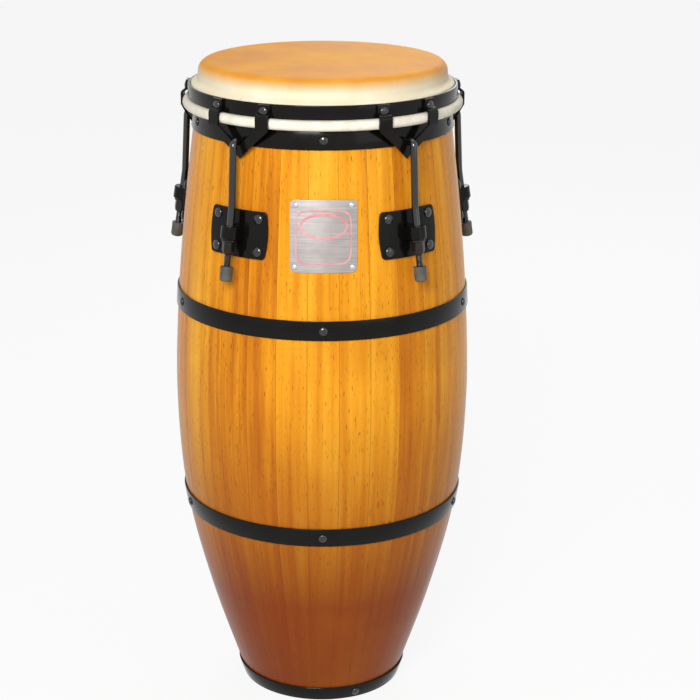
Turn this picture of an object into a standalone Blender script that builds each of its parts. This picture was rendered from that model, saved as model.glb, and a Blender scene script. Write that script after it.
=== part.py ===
"""A stave-built conga: wooden shell with steel bands, crown with five straps, hook rods, nuts and side plates.

The drum's axis is vertical and its badge faces -Y. Azimuth is measured from that front, towards +X.
Pieces that wrap the shell are drawn as if the drum's axis were the Z axis, and hang on the empty drum_axis,
which moves them so that the whole drum stands centred over the origin.
"""

import math

import bmesh
import bpy
from mathutils import Matrix, Vector

# Grid that every turned piece shares, so that nested rings keep their gaps
RING_STEPS = 40
GRID_STEP = math.tau / RING_STEPS

# Running and seating gaps
CLEARANCE = 0.0003
FACET_CLEARANCE = 0.0005
HOLE_CLEARANCE = 0.0004

# Wooden shell: outer radius at each height of the belly's curve
SHELL_CURVE = (
    (0.000, 0.0945),
    (0.120, 0.1342),
    (0.240, 0.1630),
    (0.365, 0.1730),
    (0.489, 0.1690),
    (0.600, 0.1593),
    (0.709, 0.1460),
    (0.762, 0.1394),
)
HEAD_TOP = 0.762
SHELL_WALL = 0.011
EDGE_ROUND = 0.004
EDGE_BEVEL = 0.007
LONGEST_OUTLINE_STEP = 0.080

# Steel bands round the shell
BAND_HEIGHT = 0.022
BAND_THICKNESS = 0.0018
BAND_MARGIN = 0.012
LOWER_BAND_BOTTOM = 0.2295
UPPER_BAND_BOTTOM = 0.478
TOP_BAND_BOTTOM = 0.687
FOOT_BAND_HEIGHT = 0.018
FOOT_LIP_WIDTH = 0.010

# Domed screws that hold the bands
SCREW_HEAD_RADIUS = 0.0050
SCREW_HEAD_HEIGHT = 0.0024
FOOT_SCREWS = 3
FOOT_SCREW_AZIMUTH = math.radians(24)
FUSE_DEPTH = 0.0004

# Badge plate on the front, with four drive pins
BADGE_WIDTH = 0.074
BADGE_HEIGHT = 0.080
BADGE_BOTTOM = 0.554
BADGE_THICKNESS = 0.0012
BADGE_CORNER = 0.006
PIN_INSET = 0.006
PIN_HEAD_RADIUS = 0.0030
PIN_HEAD_HEIGHT = 0.0018
PIN_SHANK_RADIUS = 0.0013
PIN_LENGTH = 0.006

# Five lugs, spaced evenly, with the front gap between the first and the last
LUG_COUNT = 5
LUG_SPACING = math.tau / LUG_COUNT

# Side plate with its nose, bolted through the shell
PLATE_BOTTOM = 0.565
PLATE_HEIGHT = 0.0525
PLATE_WIDTH = 0.072
PLATE_BOW = 0.003
PLATE_THICKNESS = 0.0028
BOLT_SPREAD = 0.0275
BOLT_RISE = 0.018
BOLT_HEAD_RADIUS = 0.0055
BOLT_HEAD_HEIGHT = 0.0028
BOLT_SHANK_RADIUS = 0.0030
BOLT_NUT_GAP = 0.0009
BOLT_NUT_RADIUS = 0.0064
BOLT_NUT_HEIGHT = 0.005
NOSE_RADIUS = 0.010
NOSE_HEIGHT = 0.0145

# Hook rod: its threaded lower end leans outwards on an axis through the nose
ROD_RADIUS = 0.00397
ROD_SIDES = 8
ROD_TILT = math.radians(9)
ROD_AXIS_RADIUS = 0.1750
ROD_AXIS_HEIGHT = 0.594
ROD_BEND_HEIGHT = 0.621
ROD_BEND_RADIUS = 0.060
ROD_BEND_STEPS = 3
THREAD_PITCH = 0.001411
THREAD_EXPOSED = 0.014
HOOK_RADIUS = 0.1670
HOOK_BEND_RADIUS = 0.0062
HOOK_BEND_STEPS = 4
HOOK_END_RADIUS = 0.1536

# Rubber cap on the rod's end
CAP_RADIUS = 0.0073
CAP_LENGTH = 0.017
CAP_BORE_DEPTH = 0.012
CAP_ROUND = 0.0025

# Flanged nut that draws the rod down
NUT_LENGTH = 0.016
NUT_FLANGE_RADIUS = 0.0082
NUT_FLANGE_HEIGHT = 0.0026
NUT_FLATS = 0.0128
NUT_TAPER_LENGTH = 0.0035
NUT_TAPER_RADIUS = 0.0055
ROUND_SIDES = 12

# Flesh hoop, the skin round it, and the crown band that presses on them
HOOP_RADIUS = 0.1548
HOOP_HEIGHT = 0.7148
HOOP_CORE_RADIUS = 0.0042
HOOP_CORE_SIDES = 6
SKIN_THICKNESS = 0.0013
SKIN_FLARE_RADIUS = 0.0050
SKIN_FLARE_STEPS = 2
CROWN_INNER_RADIUS = 0.1512
CROWN_THICKNESS = 0.0032
CROWN_HEIGHT = 0.0156

# V-shaped straps that carry the hooks
STRAP_WIDTH = 0.0145
STRAP_THICKNESS = 0.0028
STRAP_SPREAD = 0.0315
STRAP_TOP_INSET = 0.0006
STRAP_SHELF_RISE = 0.0046
STRAP_TIP_HEIGHT = 0.6735
STRAP_TIP_RADIUS = 0.1526
STRAP_KNEE_DROP = 0.0020
TIP_DEPTH = 0.0160
CROTCH_STEPS = 3

# Rivets that join strap and crown band
RIVET_HEAD_RADIUS = 0.0050
RIVET_HEAD_HEIGHT = 0.0025
RIVET_SHANK_RADIUS = 0.0022
RIVET_TAIL_RADIUS = 0.0036
RIVET_TAIL_HEIGHT = 0.0010

FASTENER_SIDES = 6
DOME_CROWN = 0.62


def clear_scene():
    for obj in list(bpy.data.objects):
        bpy.data.objects.remove(obj, do_unlink=True)


def make_material(name, colour, roughness, metallic=0.0):
    material = bpy.data.materials.new(name)
    material.use_nodes = True
    shader = material.node_tree.nodes["Principled BSDF"]
    shader.inputs["Base Color"].default_value = (*colour, 1.0)
    shader.inputs["Roughness"].default_value = roughness
    shader.inputs["Metallic"].default_value = metallic
    return material


def add_node(name, mesh, material, parent, matrix=None):
    """One object for one sub-part; copies of a repeated piece share their mesh."""
    obj = bpy.data.objects.new(name, mesh)
    if not mesh.materials:
        mesh.materials.append(material)
    bpy.context.scene.collection.objects.link(obj)
    obj.parent = parent
    obj.matrix_local = matrix or Matrix.Identity(4)
    return obj


def add_empty(name, matrix, parent=None):
    empty = bpy.data.objects.new(name, None)
    bpy.context.scene.collection.objects.link(empty)
    empty.parent = parent
    empty.matrix_local = matrix
    return empty


def mesh_from(bm, name, smooth_angle=30):
    bmesh.ops.remove_doubles(bm, verts=bm.verts, dist=1e-6)
    bmesh.ops.recalc_face_normals(bm, faces=bm.faces)
    mesh = bpy.data.meshes.new(name)
    bm.to_mesh(mesh)
    bm.free()
    mesh.shade_smooth()
    mesh.set_sharp_from_angle(angle=math.radians(smooth_angle))
    return mesh


def combine(target, helper_mesh, operation):
    """Joins the helper's solids to the target, or takes them out of it, with a Boolean modifier."""
    helper = bpy.data.objects.new(f"{target.name}_{operation.lower()}", helper_mesh)
    bpy.context.scene.collection.objects.link(helper)
    helper.parent = target.parent
    helper.hide_render = True
    helper.display_type = "WIRE"
    modifier = target.modifiers.new(operation.lower(), "BOOLEAN")
    modifier.operation = operation
    modifier.solver = "EXACT"
    modifier.object = helper
    return helper


def smooth_curve(points, place):
    """The value at a place on a smooth curve through (place, value) points, with central slopes."""
    places = [point[0] for point in points]
    values = [point[1] for point in points]
    last = len(points) - 1
    slopes = []
    for i in range(last + 1):
        before, after = max(i - 1, 0), min(i + 1, last)
        slopes.append((values[after] - values[before]) / (places[after] - places[before]))
    i = max(k for k in range(last) if k == 0 or places[k] <= place)
    width = places[i + 1] - places[i]
    t = (place - places[i]) / width
    return (
        (2 * t**3 - 3 * t**2 + 1) * values[i]
        + (t**3 - 2 * t**2 + t) * width * slopes[i]
        + (3 * t**2 - 2 * t**3) * values[i + 1]
        + (t**3 - t**2) * width * slopes[i + 1]
    )


def shell_knots():
    """Heights between which the shell is straight: each band and the row of fittings has such a stretch."""
    return [
        0.0,
        LOWER_BAND_BOTTOM - BAND_MARGIN,
        LOWER_BAND_BOTTOM + BAND_HEIGHT + BAND_MARGIN,
        UPPER_BAND_BOTTOM - BAND_MARGIN,
        UPPER_BAND_BOTTOM + BAND_HEIGHT + BAND_MARGIN,
        min(PLATE_BOTTOM, BADGE_BOTTOM) - BAND_MARGIN / 2,
        max(PLATE_BOTTOM + PLATE_HEIGHT, BADGE_BOTTOM + BADGE_HEIGHT) + BAND_MARGIN / 2,
        HEAD_TOP,
    ]


def shell_heights():
    """The knots, with more heights between them where the belly curves."""
    knots = shell_knots()
    heights = []
    for low, high in zip(knots, knots[1:]):
        steps = 1 if high == HEAD_TOP else math.ceil((high - low) / LONGEST_OUTLINE_STEP)
        heights += [low + (high - low) * step / steps for step in range(steps)]
    return [*heights, HEAD_TOP]


SHELL_OUTLINE = [(height, smooth_curve(SHELL_CURVE, height)) for height in shell_heights()]
WALL_OUTLINE = [(height, smooth_curve(SHELL_CURVE, height) - SHELL_WALL) for height in shell_knots()]


def outline_radius(outline, height):
    """Radius at a height on a straight-sided outline."""
    for (low, low_radius), (high, high_radius) in zip(outline, outline[1:]):
        if height <= high:
            break
    return low_radius + (high_radius - low_radius) * (height - low) / (high - low)


def shell_radius(height):
    return outline_radius(SHELL_OUTLINE, height)


def wall_radius(height):
    """Radius of the shell's inner surface."""
    return outline_radius(WALL_OUTLINE, height)


def shell_lean(height):
    """Angle by which the shell's surface faces upwards at a height."""
    reach = 0.002
    return math.atan2(shell_radius(height - reach) - shell_radius(height + reach), 2 * reach)


def facet_radius(radius, azimuth):
    """Distance from the axis to the facets of a ring whose corners lie at this radius."""
    off_corner = azimuth % GRID_STEP
    return radius * math.cos(GRID_STEP / 2) / math.cos(off_corner - GRID_STEP / 2)


def polar(radius, azimuth, height):
    return Vector((radius * math.sin(azimuth), -radius * math.cos(azimuth), height))


def lug_azimuths():
    return [LUG_SPACING / 2 + LUG_SPACING * lug for lug in range(LUG_COUNT)]


def gap_azimuths():
    return [LUG_SPACING * gap for gap in range(LUG_COUNT)]


def turned(name, outline, closed=True):
    """A ring, or a solid whose outline starts and ends on the axis, turned from (radius, height) points."""
    bm = bmesh.new()
    spin_outline(bm, outline, closed)
    return mesh_from(bm, name)


def spin_outline(bm, outline, closed):
    verts = [bm.verts.new(polar(radius, 0, height)) for radius, height in outline]
    pairs = list(zip(verts, verts[1:]))
    if closed:
        pairs.append((verts[-1], verts[0]))
    edges = [bm.edges.new(pair) for pair in pairs]
    bmesh.ops.spin(
        bm, geom=verts + edges, cent=(0, 0, 0), axis=(0, 0, 1), angle=math.tau, steps=RING_STEPS, use_merge=True
    )


def loft(bm, rings, closed_path=False):
    """Joins rings with the same number of points. An open path gets a cap at each end."""
    loops = [[bm.verts.new(point) for point in ring] for ring in rings]
    pairs = list(zip(loops, loops[1:]))
    if closed_path:
        pairs.append((loops[-1], loops[0]))
    else:
        bm.faces.new(loops[0])
        bm.faces.new(reversed(loops[-1]))
    for low, high in pairs:
        for i in range(len(low)):
            j = (i + 1) % len(low)
            bm.faces.new((low[i], low[j], high[j], high[i]))


def circle(radius, height, sides, turn=0.0):
    angles = [math.tau * side / sides + turn for side in range(sides)]
    return [Vector((radius * math.cos(a), radius * math.sin(a), height)) for a in angles]


def hexagon(flats, height):
    """A hexagon drawn with twelve points, so that it lofts to a twelve-sided circle."""
    points = []
    for side in range(ROUND_SIDES):
        radius = flats / 2 if side % 2 else flats / 2 / math.cos(math.pi / 6)
        points.append(circle(radius, height, ROUND_SIDES)[side])
    return points


def offset_path(points, distance):
    """The (radius, height) path moved sideways, to its left, with mitred corners."""
    moved = []
    for i, point in enumerate(points):
        here = Vector(point)
        before = here - Vector(points[i - 1]) if i else None
        after = Vector(points[i + 1]) - here if i + 1 < len(points) else None
        first = (before or after).normalized()
        second = (after or before).normalized()
        normal_a = Vector((-first.y, first.x))
        normal_b = Vector((-second.y, second.x))
        mitre = (normal_a + normal_b).normalized()
        moved.append(tuple(here + mitre * distance / mitre.dot(normal_a)))
    return moved


def seat(azimuth, height, lift):
    """Placement on the shell's surface: local Z points out of it, and lift moves along local Z."""
    radius = facet_radius(shell_radius(height), azimuth)
    turn = Matrix.Rotation(azimuth, 4, "Z")
    lean = Matrix.Rotation(math.pi / 2 - shell_lean(height), 4, "X")
    place = Matrix.Translation(polar(radius, azimuth, height))
    return place @ turn @ lean @ Matrix.Translation((0, 0, lift))


def add_rings(bm, sections, sides, matrix):
    """A fastener from (radius, height) sections along local Z, placed by a matrix."""
    rings = [[matrix @ point for point in circle(radius, height, sides)] for radius, height in sections]
    loft(bm, rings)


def domed(head_radius, head_height, shank_radius, shank_length):
    """Sections of a domed fastener: shank below its seat at zero, head above."""
    return [
        (shank_radius, -shank_length),
        (shank_radius, 0),
        (head_radius, 0),
        (head_radius * DOME_CROWN, head_height),
    ]


def fasteners(name, places, sections):
    """Identical round pieces, or cutters for their holes, placed by their matrices."""
    bm = bmesh.new()
    for place in places:
        add_rings(bm, sections, FASTENER_SIDES, place)
    return mesh_from(bm, name)


def drill(name, places, radius, low, high):
    """Cutters for the holes of a group of fasteners, with the same sides and turn."""
    return fasteners(name, places, [(radius, low), (radius, high)])


def wall_outline():
    """Section of the wall: foot, belly outside, rounded bearing edge, bevel, belly inside."""
    foot = BAND_THICKNESS + CLEARANCE
    crest = HEAD_TOP - SKIN_THICKNESS - CLEARANCE
    shoulder = crest - EDGE_ROUND
    edge_centre = (shell_radius(shoulder) - EDGE_ROUND, shoulder)
    outside = [(shell_radius(foot), foot)]
    outside += [(radius, height) for height, radius in SHELL_OUTLINE if foot < height < shoulder]
    outside += arc(edge_centre, EDGE_ROUND, 0, 90, 2)
    bevel = crest - EDGE_BEVEL
    inside = [(wall_radius(bevel), bevel)]
    inside += [(radius, height) for height, radius in reversed(WALL_OUTLINE) if foot < height < bevel]
    return outside + inside + [(wall_radius(foot), foot)]


def screw_places():
    """Seats of the screws on the outside of each band, by band."""
    lift = CLEARANCE + BAND_THICKNESS - FUSE_DEPTH
    middles = {
        "lower": LOWER_BAND_BOTTOM + BAND_HEIGHT / 2,
        "upper": UPPER_BAND_BOTTOM + BAND_HEIGHT / 2,
        "top": TOP_BAND_BOTTOM + BAND_HEIGHT / 2,
    }
    places = {
        band: [seat(azimuth, middle, lift) for azimuth in gap_azimuths()] for band, middle in middles.items()
    }
    foot_azimuths = [FOOT_SCREW_AZIMUTH + math.tau * screw / FOOT_SCREWS for screw in range(FOOT_SCREWS)]
    places["foot"] = [seat(azimuth, FOOT_BAND_HEIGHT / 2, lift) for azimuth in foot_azimuths]
    return places


def pin_places():
    middle = BADGE_BOTTOM + BADGE_HEIGHT / 2
    across = BADGE_WIDTH / 2 - PIN_INSET
    along = BADGE_HEIGHT / 2 - PIN_INSET
    lift = CLEARANCE + BADGE_THICKNESS - FUSE_DEPTH
    return [
        seat(side * across / shell_radius(middle), middle + rise * along, lift)
        for side in (-1, 1)
        for rise in (-1, 1)
    ]


def bolt_places():
    """Seats of the carriage bolts' heads on the side plates."""
    middle = PLATE_BOTTOM + PLATE_HEIGHT / 2
    lift = CLEARANCE + PLATE_THICKNESS + CLEARANCE
    return [
        seat(azimuth + side * BOLT_SPREAD / shell_radius(middle), middle + rise * BOLT_RISE, lift)
        for azimuth in lug_azimuths()
        for side in (-1, 1)
        for rise in (-1, 1)
    ]


def bolt_reach():
    """Depth below a bolt's head at which its nut meets the inner wall's facets."""
    return PLATE_THICKNESS + 2 * CLEARANCE + SHELL_WALL + BOLT_NUT_GAP


def build_shell(axis, wood):
    shell = add_node("shell", turned("shell", wall_outline()), wood, axis)
    pin_radius = PIN_SHANK_RADIUS + HOLE_CLEARANCE
    bolt_radius = BOLT_SHANK_RADIUS + HOLE_CLEARANCE
    pin_holes = drill("pin_holes", pin_places(), pin_radius, -PIN_LENGTH - CLEARANCE, 0)
    bolt_holes = drill("bolt_holes", bolt_places(), bolt_radius, -bolt_reach() - SHELL_WALL, 0)
    combine(shell, pin_holes, "DIFFERENCE")
    combine(shell, bolt_holes, "DIFFERENCE")


def band_outline(bottom, height):
    inner = [(shell_radius(z) + CLEARANCE, z) for z in (bottom, bottom + height)]
    outer = [(radius + BAND_THICKNESS, z) for radius, z in inner]
    return [inner[0], outer[0], outer[1], inner[1]]


def foot_band_outline():
    """The foot's band turns in under the wood, and its flat lip is what the drum stands on."""
    inner_low, outer_low, outer_high, inner_high = band_outline(0.0, FOOT_BAND_HEIGHT)
    lip_edge = inner_low[0] - FOOT_LIP_WIDTH
    inner_bend = (shell_radius(BAND_THICKNESS) + CLEARANCE, BAND_THICKNESS)
    return [(lip_edge, 0.0), outer_low, outer_high, inner_high, inner_bend, (lip_edge, BAND_THICKNESS)]


def build_bands(axis, steel):
    """Each band with the domed heads of its screws."""
    outlines = {
        "lower": band_outline(LOWER_BAND_BOTTOM, BAND_HEIGHT),
        "upper": band_outline(UPPER_BAND_BOTTOM, BAND_HEIGHT),
        "top": band_outline(TOP_BAND_BOTTOM, BAND_HEIGHT),
        "foot": foot_band_outline(),
    }
    screw = [(SCREW_HEAD_RADIUS, 0), (SCREW_HEAD_RADIUS * DOME_CROWN, SCREW_HEAD_HEIGHT)]
    for name, places in screw_places().items():
        band = add_node(f"{name}_band", turned(f"{name}_band", outlines[name]), steel, axis)
        combine(band, fasteners(f"{name}_band_screws", places, screw), "UNION")


def wrapped_plate(outline, centre_height, low_lift, high_lift, surface=shell_radius):
    """A plate cut flat to (across, height) points, then wrapped on a surface's facets at the front."""
    bm = bmesh.new()
    bm.faces.new([bm.verts.new((across, 0, height)) for across, height in outline])
    reference = surface(centre_height)
    widest = max(across for across, _ in outline)
    for step in range(-RING_STEPS // 4, RING_STEPS // 4 + 1):
        across = reference * GRID_STEP * step
        if abs(across) < widest:
            geometry = bm.verts[:] + bm.edges[:] + bm.faces[:]
            bmesh.ops.bisect_plane(bm, geom=geometry, plane_co=(across, 0, 0), plane_no=(1, 0, 0))
    inner = list(bm.verts)
    extruded = bmesh.ops.extrude_face_region(bm, geom=bm.faces[:])
    outer = [item for item in extruded["geom"] if isinstance(item, bmesh.types.BMVert)]
    for verts, lift in ((inner, low_lift), (outer, high_lift)):
        for vert in verts:
            azimuth = vert.co.x / reference
            radius = facet_radius(surface(vert.co.z) + lift, azimuth)
            vert.co = polar(radius, azimuth, vert.co.z)
    return bm


def rounded_rectangle(width, bottom, height, corner, steps=3):
    points = []
    corners = ((1, 1, 0), (-1, 1, 90), (-1, -1, 180), (1, -1, 270))
    for side, rise, start in corners:
        across = side * (width / 2 - corner)
        up = bottom + height / 2 + rise * (height / 2 - corner)
        for step in range(steps + 1):
            angle = math.radians(start + 90 * step / steps)
            points.append((across + corner * math.cos(angle), up + corner * math.sin(angle)))
    return points


def build_badge(axis, aluminium):
    """The badge plate with its drive pins."""
    outline = rounded_rectangle(BADGE_WIDTH, BADGE_BOTTOM, BADGE_HEIGHT, BADGE_CORNER)
    middle = BADGE_BOTTOM + BADGE_HEIGHT / 2
    bm = wrapped_plate(outline, middle, CLEARANCE, CLEARANCE + BADGE_THICKNESS)
    badge = add_node("badge", mesh_from(bm, "badge"), aluminium, axis)
    pin = domed(PIN_HEAD_RADIUS, PIN_HEAD_HEIGHT, PIN_SHANK_RADIUS, PIN_LENGTH)
    combine(badge, fasteners("badge_pins", pin_places(), pin), "UNION")


def plate_outline():
    """Straight top and bottom, sides bowed outwards."""
    points = []
    rows = 4
    for side in (1, -1):
        for row in range(rows + 1):
            rise = -side * (1 - 2 * row / rows)
            across = side * (PLATE_WIDTH / 2 + PLATE_BOW * (1 - rise**2))
            points.append((across, PLATE_BOTTOM + PLATE_HEIGHT * (1 + rise) / 2))
    return points


def rod_frame():
    """Frame of a front lug's rod: local Z runs up the threaded axis, local -Y points outwards."""
    lean = Matrix.Rotation(-ROD_TILT, 4, "X")
    return Matrix.Translation(polar(ROD_AXIS_RADIUS, 0, ROD_AXIS_HEIGHT)) @ lean


def nose_mesh():
    """The nose of the side plate: flat flanks, and a half-round end about the rod."""
    steps = 8
    root = -(ROD_AXIS_RADIUS - shell_radius(ROD_AXIS_HEIGHT) - CLEARANCE - PLATE_THICKNESS / 2)
    plan = [(NOSE_RADIUS, -root), (-NOSE_RADIUS, -root)]
    for step in range(steps + 1):
        angle = math.pi + math.pi * step / steps
        plan.append((NOSE_RADIUS * math.cos(angle), NOSE_RADIUS * math.sin(angle)))
    bm = bmesh.new()
    loft(bm, [[Vector((x, y, z)) for x, y in plan] for z in (-NOSE_HEIGHT / 2, NOSE_HEIGHT / 2)])
    bm.transform(rod_frame())
    return mesh_from(bm, "plate_nose")


def finished_mesh(obj, name):
    """The object's mesh with its modifiers applied, for the copies to share; the object itself goes."""
    bpy.context.view_layer.update()
    graph = bpy.context.evaluated_depsgraph_get()
    mesh = bpy.data.meshes.new_from_object(obj.evaluated_get(graph))
    mesh.name = name
    for helper in [modifier.object for modifier in obj.modifiers]:
        bpy.data.objects.remove(helper, do_unlink=True)
    bpy.data.objects.remove(obj, do_unlink=True)
    return mesh


def side_plate_mesh(steel):
    """Plate and nose fused, with the rod's bore and four bolt holes, drawn at the front."""
    middle = PLATE_BOTTOM + PLATE_HEIGHT / 2
    bm = wrapped_plate(plate_outline(), middle, CLEARANCE, CLEARANCE + PLATE_THICKNESS)
    plate = add_node("plate_master", mesh_from(bm, "plate_master"), steel, None)
    combine(plate, nose_mesh(), "UNION")
    holes = bmesh.new()
    bore = ROD_RADIUS + FACET_CLEARANCE
    add_rings(holes, [(bore, -NOSE_HEIGHT), (bore, NOSE_HEIGHT)], ROD_SIDES, rod_frame())
    hole = BOLT_SHANK_RADIUS + HOLE_CLEARANCE
    turn_back = Matrix.Rotation(-lug_azimuths()[0], 4, "Z")
    for place in bolt_places()[:4]:
        add_rings(holes, [(hole, -2 * PLATE_THICKNESS), (hole, PLATE_THICKNESS)], FASTENER_SIDES, turn_back @ place)
    combine(plate, mesh_from(holes, "plate_holes"), "DIFFERENCE")
    return finished_mesh(plate, "side_plate")


def build_plate_bolts(axis, steel):
    """Carriage bolts through plate and wall, each with its nut run up inside the shell."""
    reach = bolt_reach()
    nut = [(BOLT_NUT_RADIUS, -reach - BOLT_NUT_HEIGHT), (BOLT_NUT_RADIUS, -reach)]
    bolt = nut + domed(BOLT_HEAD_RADIUS, BOLT_HEAD_HEIGHT, BOLT_SHANK_RADIUS, reach)
    mesh = fasteners("side_plate_bolt", [Matrix.Identity(4)], bolt)
    for number, place in enumerate(bolt_places()):
        lug, corner = divmod(number, 4)
        add_node(f"side_plate_bolt_{lug + 1}_{corner + 1}", mesh, steel, axis, place)


def arc(centre, radius, start, end, steps):
    """Points of an arc in degrees, from start to end, both included."""
    angles = [math.radians(start + (end - start) * step / steps) for step in range(steps + 1)]
    return [(centre[0] + radius * math.cos(a), centre[1] + radius * math.sin(a)) for a in angles]


def skin_path():
    """Middle line of the skin: over the bearing edge, down the collar, out and round the hoop."""
    half = SKIN_THICKNESS / 2
    lift = CLEARANCE + half
    crest = HEAD_TOP - half
    round_over = EDGE_ROUND + lift
    shoulder = crest - round_over
    edge_centre = (shell_radius(shoulder) - EDGE_ROUND, shoulder)
    wrap = HOOP_CORE_RADIUS + lift
    level = HOOP_HEIGHT + wrap
    flare_top = level + SKIN_FLARE_RADIUS
    collar_foot = shell_radius(flare_top) + lift
    flare_centre = (collar_foot + SKIN_FLARE_RADIUS, flare_top)
    step = 360 / HOOP_CORE_SIDES
    hoop = arc((HOOP_RADIUS, HOOP_HEIGHT), wrap, 90, 90 - (HOOP_CORE_SIDES - 1) * step, HOOP_CORE_SIDES - 1)
    path = [(0.0, crest)]
    path += arc(edge_centre, round_over, 90, 0, 2)
    path += arc(flare_centre, SKIN_FLARE_RADIUS, 180, 270, SKIN_FLARE_STEPS)
    return path + hoop


def build_drumhead(axis, skin, steel):
    middle = skin_path()
    upper = offset_path(middle, SKIN_THICKNESS / 2)
    lower = offset_path(middle, -SKIN_THICKNESS / 2)
    outline = upper + lower[::-1]
    add_node("drumhead", turned("drumhead", outline, closed=False), skin, axis)
    core = arc((HOOP_RADIUS, HOOP_HEIGHT), HOOP_CORE_RADIUS, 90, 450, HOOP_CORE_SIDES)[:-1]
    add_node("hoop_core", turned("hoop_core", core), steel, axis)


def crown_bottom():
    return HOOP_HEIGHT + HOOP_CORE_RADIUS + SKIN_THICKNESS + 2 * CLEARANCE


def strap_profile():
    """Inner face of a strap, from the crown band's top, out over the hoop, then down and in to the tip."""
    on_band = CROWN_INNER_RADIUS + CROWN_THICKNESS + FACET_CLEARANCE
    past_hoop = HOOP_RADIUS + HOOP_CORE_RADIUS + SKIN_THICKNESS + CLEARANCE + FACET_CLEARANCE
    top = crown_bottom() + CROWN_HEIGHT - STRAP_TOP_INSET
    return [
        (on_band, top),
        (on_band, crown_bottom() + STRAP_SHELF_RISE),
        (past_hoop, crown_bottom() + CLEARANCE),
        (past_hoop, HOOP_HEIGHT - HOOP_CORE_RADIUS - STRAP_KNEE_DROP),
        (STRAP_TIP_RADIUS, STRAP_TIP_HEIGHT),
    ]


def path_lengths(points):
    lengths = [0.0]
    for before, after in zip(points, points[1:]):
        lengths.append(lengths[-1] + math.dist(before, after))
    return lengths


def along(points, lengths, distance):
    """The point at a distance along a path; past its end, the last stretch goes on."""
    i = max(k for k in range(len(points) - 1) if k == 0 or lengths[k] <= distance)
    share = (distance - lengths[i]) / (lengths[i + 1] - lengths[i])
    start, end = points[i], points[i + 1]
    return (start[0] + (end[0] - start[0]) * share, start[1] + (end[1] - start[1]) * share)


def crotch_distance():
    """How far along the strap's profile the hook's centre lies, above the tip."""
    lengths = path_lengths(strap_profile())
    return lengths[-1] - TIP_DEPTH - ROD_RADIUS - HOLE_CLEARANCE


def strap_edges():
    """Outer and inner edge points of the flat V, as (across, distance along the profile), left to right."""
    lengths = path_lengths(strap_profile())
    knee = lengths[3]
    tip = lengths[-1]
    hook = crotch_distance()
    radius = (ROD_RADIUS + HOLE_CLEARANCE) / math.cos(math.pi / 4 / CROTCH_STEPS)
    outer_top = STRAP_SPREAD + STRAP_WIDTH / 2
    inner_top = STRAP_SPREAD - STRAP_WIDTH / 2
    crotch = []
    for step in range(CROTCH_STEPS + 1):
        angle = math.pi / 4 + math.pi / 4 * step / CROTCH_STEPS
        crotch.append((radius * math.cos(angle), hook + radius * math.sin(angle)))
    right_inner = [(inner_top, length) for length in lengths[:4]] + crotch
    right_outer = [(outer_top, length) for length in lengths[:4]]
    for step in range(1, len(crotch) + 1):
        share = step / len(crotch)
        right_outer.append((outer_top * (1 - share), knee + (tip - knee) * share))
    left_outer = [(-across, length) for across, length in reversed(right_outer[:-1])]
    left_inner = [(-across, length) for across, length in reversed(right_inner[:-1])]
    return right_outer + left_outer, right_inner + left_inner


def strap_mesh():
    """A flat V strap, bent along its profile and wrapped round the drum at the front."""
    inner_face = strap_profile()
    outer_face = offset_path(inner_face, STRAP_THICKNESS)
    lengths = path_lengths(inner_face)
    faces = []
    for profile in (inner_face, outer_face):
        own_lengths = path_lengths(profile)
        faces.append((profile, own_lengths))

    def place(across, distance, face):
        profile, own_lengths = faces[face]
        i = max(k for k in range(len(lengths) - 1) if k == 0 or lengths[k] <= distance)
        share = (distance - lengths[i]) / (lengths[i + 1] - lengths[i])
        own = own_lengths[i] + (own_lengths[i + 1] - own_lengths[i]) * share
        radius, height = along(profile, own_lengths, own)
        return polar(radius, across / inner_face[0][0], height)

    outer_edge, inner_edge = strap_edges()
    rings = [
        [place(*outside, 0), place(*inside, 0), place(*inside, 1), place(*outside, 1)]
        for outside, inside in zip(outer_edge, inner_edge)
    ]
    bm = bmesh.new()
    loft(bm, rings)
    return mesh_from(bm, "crown_strap")


def rivet_places(azimuth):
    """Seats of a strap's two rivets, just inside its outer face over the crown band."""
    on_band = CROWN_INNER_RADIUS + CROWN_THICKNESS + FACET_CLEARANCE
    height = crown_bottom() + CROWN_HEIGHT / 2
    places = []
    for side in (-1, 1):
        turn = azimuth + side * STRAP_SPREAD / on_band
        radius = on_band + STRAP_THICKNESS - FUSE_DEPTH
        rotation = Matrix.Rotation(turn, 4, "Z") @ Matrix.Rotation(math.pi / 2, 4, "X")
        places.append(Matrix.Translation(polar(radius, turn, height)) @ rotation)
    return places


def build_crown(axis, steel):
    bottom = crown_bottom()
    outer = CROWN_INNER_RADIUS + CROWN_THICKNESS
    outline = [
        (CROWN_INNER_RADIUS, bottom),
        (outer, bottom),
        (outer, bottom + CROWN_HEIGHT),
        (CROWN_INNER_RADIUS, bottom + CROWN_HEIGHT),
    ]
    band = add_node("crown_band", turned("crown_band", outline), steel, axis)
    places = [place for azimuth in lug_azimuths() for place in rivet_places(azimuth)]
    facet_depth = CROWN_INNER_RADIUS * (1 - math.cos(GRID_STEP / 2))
    stack = STRAP_THICKNESS - FUSE_DEPTH + FACET_CLEARANCE + CROWN_THICKNESS + facet_depth + CLEARANCE
    holes = drill("crown_holes", places, RIVET_SHANK_RADIUS + HOLE_CLEARANCE, -2 * stack, 0)
    combine(band, holes, "DIFFERENCE")
    rivet = [(RIVET_TAIL_RADIUS, -stack - RIVET_TAIL_HEIGHT), (RIVET_TAIL_RADIUS, -stack)]
    rivet += domed(RIVET_HEAD_RADIUS, RIVET_HEAD_HEIGHT, RIVET_SHANK_RADIUS, stack)
    strap = add_node("strap_master", strap_mesh(), steel, None)
    combine(strap, fasteners("strap_rivets", rivet_places(0.0), rivet), "UNION")
    mesh = finished_mesh(strap, "crown_strap")
    for lug, azimuth in enumerate(lug_azimuths(), start=1):
        add_node(f"crown_strap_{lug}", mesh, steel, axis, Matrix.Rotation(azimuth, 4, "Z"))


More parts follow.
